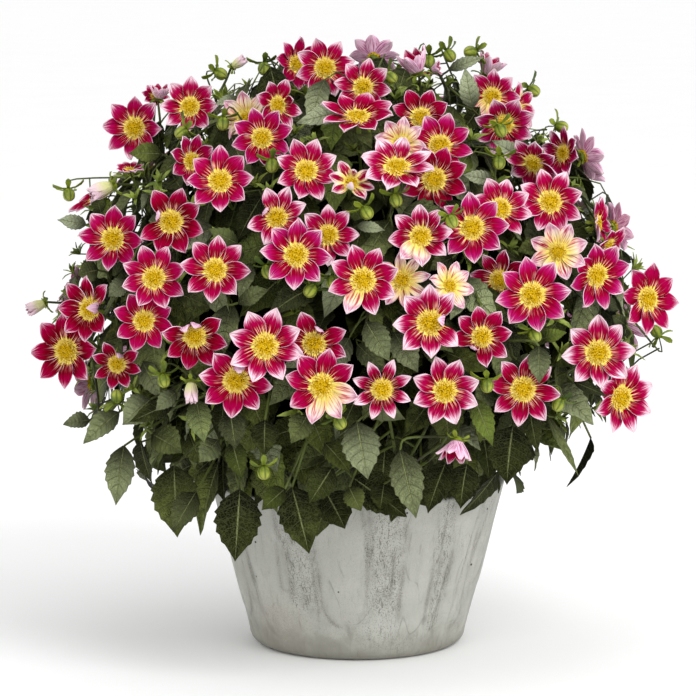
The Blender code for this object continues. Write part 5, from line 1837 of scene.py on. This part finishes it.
        # Small pits, left by bubbles, in a few of the cells, painted black as the shade inside them
        bubbles = recipe.node("ShaderNodeTexVoronoi")
        recipe.feed(bubbles.inputs["Vector"], space)
        bubbles.inputs["Scale"].default_value = 58.0
        chosen = recipe.parts(bubbles.outputs["Color"])[0]
        hole = Value(recipe, bubbles.outputs["Distance"]).band(0.058, 0.082, 1.0, 0.0)
        hole = hole * chosen.band(0.82, 0.84)
        body = recipe.mix(hole, body, PIT_PAINTED_SHADE)
        height = mottle["Grain"] * 0.5 + runs * 0.8 - outline * 0.5 - hole * 1.5
        recipe.surface(body, runs * 0.2 + 0.62, height, 0.0012, 0.55, 0.3)
        return material

    def make_floor(self):
        material, recipe = self.start("floor")
        mottle = self.mottled(recipe, 3.0, 60.0)
        body = recipe.mix(mottle["Patches"], FLOOR_WHITE, colour(0.93, 0.93, 0.93))
        recipe.surface(body, 0.9, specular=0.1)
        return material


class Patterns:
    """Everything that is modelled once and copied."""

    def __init__(self):
        self.petal = model_blade("petal_pattern", PETAL_ROWS, PETAL_COLUMNS)
        self.leaf = model_blade("leaf_pattern", toothed(LEAF_ROWS, LEAF_TEETH), LEAF_COLUMNS)
        self.small_leaf = model_blade("small_leaf_pattern", toothed(SMALL_ROWS, SMALL_TEETH), SMALL_COLUMNS)
        self.side_leaf = model_blade("side_leaf_pattern", toothed(SIDE_ROWS, SIDE_TEETH), SMALL_COLUMNS)
        self.plain_leaf = model_blade("plain_leaf_pattern", toothed(PLAIN_ROWS, []), PLAIN_COLUMNS)
        self.bract = model_blade("bract_pattern", BRACT_ROWS, BRACT_COLUMNS)
        self.sprout = model_blade("sprout_pattern", SPROUT_ROWS, BRACT_COLUMNS)
        self.disc = model_disc()
        self.calyx = Pattern(model_turned("calyx_pattern", CALYX_PROFILE, CALYX_SIDES))
        self.bud = Pattern(model_turned("bud_pattern", BUD_PROFILE, 2 * BUD_SEAMS))
        seams = 0.5 - 0.5 * np.cos(BUD_SEAMS * np.arctan2(self.bud.points[:, 1], self.bud.points[:, 0]))
        height = self.bud.points[:, 2] / BUD_PROFILE[-1][1]
        self.bud_look = np.stack((seams, height, 0 * seams, 0 * seams + 1), axis=1)


class Kit:
    """The finishes, the patterns and the seeded draws from which every stem is dressed."""

    def __init__(self):
        self.finishes = Finishes()
        self.patterns = Patterns()
        self.chance = random.Random(LOOK_SEED)


def set_on(place, pattern, points, finish, *look):
    """A copy of a pattern, shaped in its own space and set in the plant."""
    return pattern.copy(in_place(place, points), finish, *look)


def gap_of_angles(first, second):
    """Difference of two clock angles in degrees."""
    return abs((first - second + 180) % 360 - 180)


def bloom_petals(piece, kit):
    """The petals of a bloom, each with its own length, curl and look."""
    chance = kit.chance
    radius = piece.radius
    if piece.key in BLOOM_LOOKS:
        pale, tip, tone = BLOOM_LOOKS[piece.key]
    else:
        pale, tip, tone = 0.0, chance.uniform(*TIP_REACH), chance.uniform(*TONE)
    narrow = NARROW_PETALS.get(piece.key, 1.0)
    turn = chance.choice((-1, 1)) * PETAL_ROLL
    rise = chance.uniform(*PETAL_RISE)
    start = (PETAL_START[0] * radius, PETAL_START[1] * radius)
    made = []
    for k in range(PETALS):
        clock = piece.spin_degrees + k * 360 / PETALS
        angle = math.radians(clock + chance.uniform(-PETAL_STRAY, PETAL_STRAY))
        is_curled, is_pale = (
            any(gap_of_angles(clock, each) < NEAR_ANGLE for each in table.get(piece.key, ()))
            for table in (CURLED_PETALS, PALE_PETALS)
        )
        curl = chance.uniform(*PETAL_CURL)
        power = 1.0
        length = radius * (1 - PETAL_START[0]) * chance.uniform(0.98, 1.07)
        lift = rise + chance.uniform(-4, 4)
        broad = narrow * chance.uniform(0.93, 1.05)
        if is_curled:
            curl = chance.uniform(*CURLED_OVER)
            power = CURLED_POWER
            length *= CURLED_LENGTH
            broad *= CURLED_WIDTH
        look = (chance.random(), PALE if is_pale else pale + chance.uniform(-0.03, 0.03) * (pale > 0),
                tip + chance.uniform(-0.08, 0.08), tone + chance.uniform(-0.06, 0.06))
        points = curved_blade(kit.patterns.petal, start, angle, length, radius * PETAL_WIDTH * broad, lift,
                              curl, chance.uniform(*PETAL_CUP), turn, power, FURROW)
        made.append(set_on(piece.place, kit.patterns.petal, points, kit.finishes.petal, look, "petal_look"))
    return made


def bracts_round(place, pattern, finish, form, chance, turn=0.0):
    """Narrow green blades in a ring, under a flower or as a young shoot."""
    count, start, length, width, rise, curl = form
    made = []
    for k in range(count):
        angle = turn + math.tau * k / count + chance.uniform(-0.2, 0.2)
        points = curved_blade(pattern, start, angle, length * chance.uniform(0.85, 1.15), width,
                              rise + chance.uniform(-12, 12), curl + chance.uniform(-20, 20), 0.35)
        made.append(set_on(place, pattern, points, (finish,)))
    return made


def bracts_under(piece, kit, form, turn=0.0):
    """The bracts of a flower or a bud, sized by its radius."""
    count, start, length, width, rise, curl = form
    size = piece.radius
    sized = (count, (start[0] * size, start[1] * size), length * size, width * size, rise, curl)
    return bracts_round(piece.place, kit.patterns.bract, kit.finishes.bract, sized, kit.chance, turn)


def folded_petals(piece, kit):
    """Petals of a flower that is still closed or half open, standing up round each other."""
    chance, petal, finish = kit.chance, kit.patterns.petal, kit.finishes.petal
    size = piece.radius
    made = []
    tone = chance.uniform(0.3, 0.9)
    is_bell = piece.key in OPEN_BELLS
    reach, width, rise, inner_rise, curls, cup, power = BELL_PETALS if is_bell else CLOSED_PETALS
    least, curl, most = curls
    start = (FOLDED_START[0] * size, FOLDED_START[1] * size)
    for k in range(PETALS):
        angle = math.tau * k / PETALS + chance.uniform(-0.1, 0.1)
        points = curved_blade(petal, start, angle, size * chance.uniform(*reach), size * width,
                              rise + inner_rise * (1 - k % 2), curl + chance.uniform(least, most), cup,
                              FOLDED_ROLL, power, FURROW)
        if is_bell:
            look = (chance.random(), chance.uniform(0.0, 0.3), chance.uniform(0.25, 0.45), 0.2)
            finish = (kit.finishes.petal[0],) * 2
        else:
            look = (chance.random(), chance.uniform(0.35, 0.7), chance.uniform(0.5, 0.9), tone)
        made.append(set_on(piece.place, petal, points, finish, look, "petal_look"))
    return made


def leaf_copy(place, length, width, look, kit, droop=0.10, is_fine=False):
    """One leaf: the seen ones with the most teeth, those inside the plant plain."""
    patterns, chance = kit.patterns, kit.chance
    pattern = patterns.side_leaf if length > LARGE_LEAF else patterns.small_leaf
    if is_fine:
        pattern = patterns.leaf
    elif look[1] < PAINTED_SHADE_LIGHTNESS:
        pattern = patterns.plain_leaf
    points = leaf_surface(pattern, length, width, droop, chance.uniform(*FOLD), chance.uniform(*WAVE),
                          chance.uniform(*TWIST), chance.uniform(0, math.tau))
    # Leaves painted dark as shade take the third finish, which has no reflection
    slot = 2 if look[1] < PAINTED_SHADE_LIGHTNESS else 0
    return set_on(place, pattern, points, kit.finishes.leaf, look, "leaf_look", slot)


def leaf_look(key, chance):
    """Seed, lightness, painted grey sheen and freshness of a leaf; the seed also sets its painted light and
    shade.
    """
    seed, light, grey, fresh = chance.random(), chance.random(), chance.uniform(0.0, 0.6) ** 2, 0.0
    # Light leaves get painted light and grey sheen, the upper ones most, and dark leaves painted shade, by
    # their seed
    if key in LIGHT_LEAVES:
        seed, light, grey = 0.45 + seed / 5, 0.9, chance.uniform(0.45, 0.75)
        if key[1] < UPPER_LEAF:
            seed, grey = 0.85, grey + 0.55
    elif key in DARK_LEAVES:
        seed, light, grey = seed / 5, 0.10, 0.0
    elif key in FRESH_LEAVES:
        light, grey, fresh = 0.9, 0.0, 0.55
    elif chance.random() < FRESH_LEAF_CHANCE:
        fresh = chance.uniform(0.15, 0.4)
    return seed, light, grey, fresh


def fill_look(depth, height, chance):
    """Looks of a leaf that fills the plant: painted shade darkens it inside, some get painted sheen, fresh
    green is more often in its upper part.
    """
    seed, light, grey, fresh = leaf_look(None, chance)
    # Painted shade darkens the leaves between the two depths, to near black deep inside
    first, last = PAINTED_SHADE_DEPTH
    dark = min(max((first - depth) / (first - last), 0), 1)
    if height > FRESH_HEIGHT and chance.random() < FRESH_CHANCE:
        fresh = chance.uniform(*FRESHNESS)
    # Some leaves get a painted grey sheen and more painted light
    elif chance.random() < PAINTED_SHEEN_CHANCE:
        seed, grey = 0.6 + seed * 0.4, chance.uniform(*PAINTED_SHEEN_AMOUNT)
    return seed, light * (1 - dark) - dark, grey * (1 - dark), fresh * (1 - dark)


class Filler:
    """Leaves that fill the plant under its blooms, each kept only where it is clear of what is there."""

    def __init__(self, plant):
        self.plant = plant
        self.solids = [(p.head, p.box) for p in plant.pieces] + plant.fixed
        room = len(self.solids) + FILL_LEAVES + RIM_LEAVES + VEIL_LEAVES + SHOOTS
        room += len(THICK_LEAVES) + len(THICK_SHOOTS)
        self.low = np.full((room, 3), np.inf)
        self.high = np.full((room, 3), -np.inf)
        for k, (_, box) in enumerate(self.solids):
            self.low[k], self.high[k] = box
        self.roots = []
        for number, path in enumerate(plant.stems):
            self.roots += [(along(path, share)[0], number) for share in STEM_NODES]
        for piece in plant.pieces:
            self.roots += [(along(piece.path, 0.15 + 0.1 * k)[0], piece.stem) for k in range(8)]
        self.root_points = np.array([tuple(point) for point, _ in self.roots])
        self.leaves = []

    def is_clear(self, tree, box):
        near = np.all((self.low < np.array(box[1])) & (self.high > np.array(box[0])), axis=1)
        return not any(tree.overlap(self.solids[k][0]) for k in np.nonzero(near)[0])

    def try_leaf(self, place, length, width, depth):
        shape = leaf_blade(length, width, SMALL_LEAF_EDGE)[0]
        shape.points = [place @ p for p in shape.points]
        tree, box = shape.tree(), bounds_of(shape.points)
        if not self.is_clear(tree, box):
            return False
        base = place.translation
        gaps = np.linalg.norm(self.root_points - np.array(base), axis=1)
        nearest = int(np.argmin(gaps))
        if gaps[nearest] > FILL_PETIOLE:
            return False
        root, stem = self.roots[nearest]
        self.low[len(self.solids)], self.high[len(self.solids)] = box
        self.solids.append((tree, box))
        arrive = (root - base).normalized() + Vector((0, 0, -FILL_SAG))
        way = bend(base, -place.col[2].to_3d(), root, arrive, 3)
        self.leaves.append((place, length, width, way, stem, depth))
        return True

    def leaf_at(self, point, out, size, depth, chance):
        """Tries a leaf with its middle at a point, hanging out and aside, and keeps it where it is clear."""
        aside = Vector((-out.y, out.x, 0))
        up = Vector((0, 0, 1))
        heading = out * chance.uniform(*FILL_SPREAD) + aside * chance.uniform(*FILL_SWING)
        heading = (heading - up * chance.uniform(*FILL_DROP)).normalized()
        length = chance.uniform(*size)
        width = length * chance.uniform(*FILL_WIDTH)
        place = placed(point - heading * length * 0.5, heading, out + up * chance.uniform(*FILL_LIFT))
        return self.try_leaf(place, length, width, depth)

    def fill(self):
        """Leaves under the blooms from the bottom to the top, then those round the pot's opening."""
        chance = random.Random(FILL_SEED)
        for way in spiral(FILL_LEAVES, *FILL_HEIGHTS, FILL_START):
            for _ in range(FILL_TRIES):
                depth = chance.uniform(*FILL_DEPTH)
                point = dome_point(way, depth)[0]
                if point.z < LOW_HEIGHT:
                    point = DOME_CENTRE + (point - DOME_CENTRE) * LOW_SHARE
                turn = math.atan2(point.y, point.x) + chance.uniform(*FILL_TURN)
                out = Vector((math.cos(turn), math.sin(turn), 0))
                if self.leaf_at(point, out, FILL_LENGTH, depth, chance):
                    break
        self.ring(RIM_LEAVES, RIM_PLACES, RIM_HEIGHTS, RIM_LENGTH, RIM_DEPTH, 0, chance)
        self.ring(VEIL_LEAVES, VEIL_PLACES, VEIL_HEIGHTS, VEIL_LENGTH, VEIL_DEPTH, SKIRT_RAISE, chance)
        self.thicken(chance)
        for way in spiral(SHOOTS, *SHOOT_HEIGHTS, SHOOT_START):
            point, normal = dome_point(way, chance.uniform(*SHOOT_DEPTH))
            heading = (normal + Vector((0, 0, chance.uniform(*SHOOT_LIFT)))).normalized()
            size = chance.uniform(*SHOOT_SIZE)
            if not self.hides_bloom(point, normal):
                self.try_leaf(placed(point, heading, Vector((0, 0, 1))), size, size * SHOOT_WIDTH, None)
        return self.leaves

    def thicken(self, chance):
        """Leaves and young shoots at their places in the picture, just behind the blooms."""
        to_viewer = -picture_axes()[0]
        places = [(place, True) for place in THICK_LEAVES] + [(place, False) for place in THICK_SHOOTS]
        for (column, row), is_leaf in places:
            for _ in range(THICK_TRIES):
                aside, down = chance.uniform(*THICK_STRAY), chance.uniform(*THICK_STRAY)
                point = seen_at(column + aside, row + down, -chance.uniform(*THICK_DEPTH))
                out = point - DOME_CENTRE
                out = Vector((out.x, out.y, 0)).normalized()
                if self.hides_bloom(point, to_viewer):
                    continue
                if is_leaf and self.leaf_at(point, out, THICK_LENGTH, 1.0, chance):
                    break
                size = chance.uniform(*SHOOT_SIZE)
                heading = (out + to_viewer + Vector((0, 0, 1.2))).normalized()
                place = placed(point, heading, to_viewer)
                if not is_leaf and self.try_leaf(place, size, size * SHOOT_WIDTH, None):
                    break

    def hides_bloom(self, point, normal):
        """Whether something at a point would stand before a bloom."""
        for piece in self.plant.pieces:
            if piece.kind in ("bloom", "back bloom"):
                way = piece.place.translation - point
                ahead = way.dot(normal)
                if ahead < SHOOT_BEHIND and (way - normal * ahead).length < piece.radius + SHOOT_ROOM:
                    return True
        return False

    def ring(self, count, places, heights, size, depth, raised, chance):
        """Leaves round the pot's opening, those of its high side raised."""
        for k in range(count):
            angle = GOLDEN_ANGLE * k
            out = Vector((math.sin(angle), -math.cos(angle), 0))
            for _ in range(FILL_TRIES):
                point = out * chance.uniform(*places)
                rise = max(math.cos(angle - SKIRT_HIGH_SIDE), 0) ** VEIL_HIGH_POWER
                point.z = chance.uniform(*heights) + raised * rise
                if self.leaf_at(point, out, size, depth, chance):
                    break


def dress_bloom(piece, kit, parts):
    """Petals, disc, calyx and bracts of an open bloom."""
    patterns, radius = kit.patterns, piece.radius
    parts["petals"] += bloom_petals(piece, kit)
    parts["discs"].append(set_on(piece.place, patterns.disc, patterns.disc.points * radius,
                                 (kit.finishes.floret,)))
    parts["buds"].append(set_on(piece.place, patterns.calyx, patterns.calyx.points * radius,
                                (kit.finishes.bud,)))
    parts["bracts"] += bracts_under(piece, kit, BLOOM_BRACTS, kit.chance.uniform(0, 1))
    path = [piece.place @ Vector((0, 0, STALK_TOP * radius))] + list(piece.path[1:])
    parts["stalks"].append((smooth_way(path, FLOWER_BENDS), STALK_RADIUS * 0.75, STALK_RADIUS))


def dress_closed(piece, kit, parts):
    """Petals, calyx and bracts of a closed or half-open flower."""
    calyx, radius = kit.patterns.calyx, piece.radius
    parts["petals"] += folded_petals(piece, kit)
    cup = calyx.points * radius * CUP_SIZE + np.array([0, 0, CUP_LIFT * radius])
    parts["buds"].append(set_on(piece.place, calyx, cup, (kit.finishes.bud,)))
    parts["bracts"] += bracts_under(piece, kit, CLOSED_BRACTS)
    parts["stalks"].append((smooth_way(piece.path, FLOWER_BENDS), STALK_RADIUS * 0.7, STALK_RADIUS))


def dress_bud(piece, kit, parts):
    """Ball and bracts of a bud."""
    ball = kit.patterns.bud
    parts["buds"].append(set_on(piece.place, ball, ball.points * piece.radius, (kit.finishes.bud,),
                                kit.patterns.bud_look, "bud_look"))
    parts["bracts"] += bracts_under(piece, kit, BUD_BRACTS)
    parts["stalks"].append((smooth_way(piece.path, LEAF_BENDS), PETIOLE_RADIUS * 0.45, PETIOLE_RADIUS * 0.85))


def dress_leaf(piece, kit, parts):
    """Blade of a leaf of the layout."""
    look = leaf_look(piece.key, kit.chance)
    parts["blades"].append(leaf_copy(piece.place, *piece.size, look, kit, is_fine=piece.key is not None))
    parts["stalks"].append((smooth_way(piece.path, LEAF_BENDS), PETIOLE_RADIUS * 0.8, PETIOLE_RADIUS))


def dress_shoot(place, length, kit, parts):
    """A young shoot: two tiers of small leaves."""
    for share, rise, curl in SHOOT_TIERS:
        form = (kit.chance.randint(*SHOOT_LEAVES), SPROUT_START, length * share, length * SPROUT_WIDTH,
                rise, curl)
        parts["bracts"] += bracts_round(place, kit.patterns.sprout, kit.finishes.sprout, form, kit.chance,
                                        kit.chance.uniform(0, 6))


DRESSERS = {"bloom": dress_bloom, "back bloom": dress_bloom, "closed": dress_closed, "bud": dress_bud}


def dress_stem(number, plant, leaves, kit):
    """Models all that grows on one stem: its petals, its discs, and its leaves, buds and stalks."""
    parts = {name: [] for name in ("petals", "discs", "blades", "bracts", "buds", "stalks", "petioles")}
    stem_way = smooth_way(plant.stems[number], STEM_BENDS)
    parts["stalks"].append((stem_way, STEM_FOOT_RADIUS, STEM_TOP_RADIUS))
    for piece in plant.pieces:
        if piece.stem == number:
            DRESSERS.get(piece.kind, dress_leaf)(piece, kit, parts)
    for place, length, width, way, stem, depth in leaves:
        if stem != number:
            continue
        if depth is None:
            dress_shoot(place, length, kit, parts)
        else:
            look = fill_look(depth, place.translation.z, kit.chance)
            droop = kit.chance.uniform(*FILL_DROOP)
            parts["blades"].append(leaf_copy(place, length, width, look, kit, droop))
        parts["petioles"].append((way, PETIOLE_RADIUS * 0.5, PETIOLE_RADIUS * 0.7))
    node = f"leafy_stem_{number + 1:02d}"
    if parts["petals"]:
        petals = thickened(joined(parts["petals"], node + "_petals"), PETAL_BODY, 1)
    if parts["discs"]:
        discs = joined(parts["discs"], node + "_discs")
    foliage = []
    if parts["blades"]:
        foliage.append(thickened(joined(parts["blades"], node + "_foliage"), LEAF_BODY, 1))
    if parts["bracts"]:
        foliage.append(thickened(joined(parts["bracts"], node + "_bracts"), LEAF_BODY, 0))
    foliage += parts["buds"]
    foliage.append(stalks_mesh(node + "_stalks", parts["stalks"], 1, kit.finishes.stalk))
    if parts["petioles"]:
        foliage.append(stalks_mesh(node + "_petioles", parts["petioles"], 0, kit.finishes.stalk))
    foliage = joined(foliage, node + "_foliage")
    if parts["petals"]:
        finish_piece(petals, node)
    if parts["discs"]:
        finish_piece(discs, node)
    finish_piece(foliage, node)


def finish_piece(piece, node, angle=45):
    """Smooths a piece, and sets what it stands for in the frame."""
    pick(piece)
    bpy.ops.object.shade_smooth_by_angle(angle=math.radians(angle))
    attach(piece, "root")
    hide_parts(node)


def pot_rows():
    """Close rows of radius and height from the inner floor up, over the rim and down to the foot's middle."""
    profile = pot_profile()
    rows = [(HUB_RADIUS, FLOOR)] + [(inner_radius(FLOOR) * k / 3, FLOOR) for k in (1, 2, 3)]
    top = POT_HEIGHT - RIM_ROUNDING
    for k in range(1, INNER_ROWS + 1):
        height = FLOOR + (top - FLOOR) * k / INNER_ROWS
        rows.append((inner_radius(height), height))
    for k in range(1, RIM_ROWS):
        turn = math.pi * k / RIM_ROWS
        middle = (RIM_RADIUS + inner_radius(top)) / 2
        half = (RIM_RADIUS - inner_radius(top)) / 2
        rows.append((middle - half * math.cos(turn), top + RIM_ROUNDING * math.sin(turn)))
    foot_top = profile[3][1]
    for k in range(POT_ROWS + 1):
        height = top + (foot_top - top) * k / POT_ROWS
        rows.append((RIM_RADIUS + (profile[3][0] - RIM_RADIUS) * k / POT_ROWS, height))
    corner = profile[3][0] - FOOT_ROUNDING
    for k in range(1, FOOT_ROWS + 1):
        turn = math.radians(90 * k / FOOT_ROWS)
        rows.append((corner + FOOT_ROUNDING * math.cos(turn), FOOT_ROUNDING * (1 - math.sin(turn))))
    rows += [(corner * share, 0.0) for share in (0.66, 0.33, 0.04)]
    return rows


def pot_runs():
    """Runs of the cast surface: the seen ones, and others by a rule round the rest of the pot."""
    chance = random.Random(RUN_SEED)
    runs = list(FRONT_RUNS)
    angle = 78
    while angle < 282:
        half = chance.uniform(7, 12)
        runs.append((angle + half, half, chance.uniform(0.10, 0.55), chance.uniform(0.6, 1.2),
                     chance.uniform(-5, 5), chance.uniform(0, 0.8), chance.uniform(0, 0.5)))
        angle += 2 * half + chance.uniform(1, 5)
    return runs


class PotSide:
    """The pot's surface by vertex: where it is round and up the pot, its relief and its looks."""

    def __init__(self, points):
        self.points = points
        self.radius = np.hypot(points[:, 0], points[:, 1])
        self.clock = np.degrees(np.arctan2(points[:, 0], -points[:, 1]))
        self.height = points[:, 2] / POT_HEIGHT
        self.wall = RIM_RADIUS + (FOOT_RADIUS - RIM_RADIUS) * (1 - self.height)
        self.outer = (self.radius > self.wall - WALL / 2) & (points[:, 2] > FOOT_EDGE)
        self.relief, self.dark, self.pale = np.zeros((3, len(points)))
        self.specks = np.full(len(points), PLAIN_SPECKS)
        self.waver = np.array([noise.noise(Vector(p) * 26 + Vector((3, 7, 1))) for p in points])
        broken = np.array([noise.noise(Vector((p[0] * 45, p[1] * 45, p[2] * 22))) for p in points])
        self.broken = np.clip(0.35 + broken * 1.6, 0, 1)

    def aside(self, middle, lean, top, waver):
        """Distance from a line that leans and wavers down from a share of the height."""
        off = (self.clock - middle - lean * (top - self.height) + 180) % 360 - 180
        return np.radians(off) * self.radius + self.waver * waver

    def raise_run(self, middle, half, end, lift, lean, paleness, speckled):
        """A raised run with a round end, a dark line round it and its own paleness and speckles."""
        half_width = math.radians(half) * self.wall
        below = np.maximum((end * POT_HEIGHT + half_width) - self.points[:, 2], 0)
        inside = half_width - np.hypot(self.aside(middle, lean, 1, RUN_WAVER), below)
        rise = np.clip((inside + RUN_START) / RUN_SLOPE, 0, 1)
        rise = rise * rise * (3 - 2 * rise)
        self.relief = np.maximum(self.relief, rise * lift * 0.001)
        line = np.exp(-((inside + OUTLINE_PLACE) / OUTLINE_WIDTH) ** 2)
        self.dark = np.maximum(self.dark, line * self.broken * OUTLINE_DARK)
        self.pale += (paleness - self.pale) * rise
        self.specks += (speckled - self.specks) * rise

    def cut_groove(self, middle, top, low, lean, width, strength):
        """A sunk line, dark with painted shade, that fades at both ends."""
        aside = np.abs(self.aside(middle, lean, top, GROOVE_WAVER))
        inside = np.clip((top - self.height) / 0.08, 0, 1) * np.clip((self.height - low) / 0.12, 0, 1)
        line = np.exp(-(aside / width) ** 2) * inside
        self.relief = self.relief - line * GROOVE_DEPTH
        self.dark = np.maximum(self.dark, line * strength * (0.35 + 0.65 * self.broken))

    def shape(self):
        """Moves the points by the relief, with slow waves round the side and along the rim."""
        points, clock = self.points, np.radians(self.clock)
        wavy = 0.0005 * np.sin(clock * 5 + 1) + 0.0004 * np.sin(clock * 11 + self.height * 9)
        near_rim = np.clip((self.height - 0.86) / 0.12, 0, 1)
        push = (self.relief + wavy) * np.clip(points[:, 2] / 0.012, 0, 1) * (1 - 0.6 * near_rim)
        out = points[:, :2] / np.maximum(self.radius, 1e-6)[:, None]
        points[:, :2] += out * np.where(self.outer, push, 0)[:, None]
        rim_wave = 0.0006 * np.sin(clock * 3 + 0.7) + 0.0004 * np.sin(clock * 7)
        points[:, 2] += np.where(near_rim > 0, near_rim * (rim_wave - 0.0006), 0)
        return points

    def looks(self):
        dark = np.where(self.outer, self.dark, 0)
        return np.stack((dark, self.pale, self.specks, np.ones(len(dark))), axis=1)


def make_pot(finishes):
    """The pot, turned from a circle, its outer side then raised and sunk along its runs."""
    pot = model_turned("pot_shell", pot_rows(), POT_SIDES)
    mesh = pot.data
    points = np.empty(len(mesh.vertices) * 3)
    mesh.vertices.foreach_get("co", points)
    side = PotSide(points.reshape(-1, 3))
    for run in pot_runs():
        side.raise_run(*run)
    for groove in FRONT_GROOVES:
        side.cut_groove(*groove)
    mesh.vertices.foreach_set("co", side.shape().astype(np.float32).ravel())
    look = mesh.attributes.new("pot_look", "FLOAT_COLOR", "POINT")
    look.data.foreach_set("color", side.looks().astype(np.float32).ravel())
    mesh.materials.append(finishes.pot)
    finish_piece(pot, "pot", 60)


def make_soil(finishes):
    """Crumbly soil, a disc of rings that is domed and roughened, closed underneath."""
    radius = inner_radius(SOIL_TOP) - SOIL_GAP
    base = FLOOR + 0.001
    rows = [(0.003, base), (inner_radius(base) - SOIL_GAP, base)]
    rows += [(radius * (1 - k / SOIL_RINGS), SOIL_TOP + SOIL_RISE * math.sin(k / SOIL_RINGS * math.pi / 2))
             for k in range(SOIL_RINGS)]
    soil = model_turned("soil_fill", rows, SOIL_SIDES)
    mesh = soil.data
    for vertex in mesh.vertices:
        place = vertex.co
        if place.z > SOIL_TOP - 0.001:
            crumb = noise.noise(place * 240) * 0.0016 + noise.noise(place * 90 + Vector((4, 1, 2))) * 0.0018
            place.z += crumb * min(1, (radius - place.xy.length) / 0.004)
    mesh.materials.append(finishes.soil)
    finish_piece(soil, "soil", 35)


def make_stage(finishes):
    """Pale floor, soft light and the camera."""
    deselect()
    bpy.ops.mesh.primitive_plane_add(size=160, location=(0, 0, 0))
    floor = bpy.context.object
    floor.name = "studio_floor"
    floor.data.materials.append(finishes.floor)
    scene = bpy.context.scene
    world = bpy.data.worlds.new("studio")
    world.use_nodes = True
    sky = world.node_tree.nodes["Background"]
    sky.inputs["Color"].default_value = SKY_COLOUR
    sky.inputs["Strength"].default_value = SKY_STRENGTH
    scene.world = world
    lamp = bpy.data.lights.new("key_light", "AREA")
    lamp.shape = "DISK"
    lamp.size = LAMP_SIZE
    lamp.energy = LAMP_POWER
    holder = bpy.data.objects.new("key_light", lamp)
    scene.collection.objects.link(holder)
    holder.location = LAMP_PLACE
    holder.rotation_euler = (LAMP_AIM - LAMP_PLACE).to_track_quat("-Z", "Y").to_euler()
    lens = bpy.data.cameras.new("photo_view")
    lens.sensor_width = SENSOR
    lens.lens = FOCAL_LENGTH * SENSOR / (2 * PICTURE_MIDDLE)
    lens.clip_end = 200
    camera = bpy.data.objects.new("photo_view", lens)
    scene.collection.objects.link(camera)
    camera.location = EYE
    camera.rotation_euler = (AIM - EYE).to_track_quat("-Z", "Y").to_euler()
    scene.camera = camera
    scene.view_settings.view_transform = "Standard"


def main():
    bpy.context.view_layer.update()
    plant = lay_out()
    leaves = Filler(plant).fill()
    kit = Kit()
    for number in range(STEM_COUNT):
        dress_stem(number, plant, leaves, kit)
    make_pot(kit.finishes)
    make_soil(kit.finishes)
    make_stage(kit.finishes)


main()
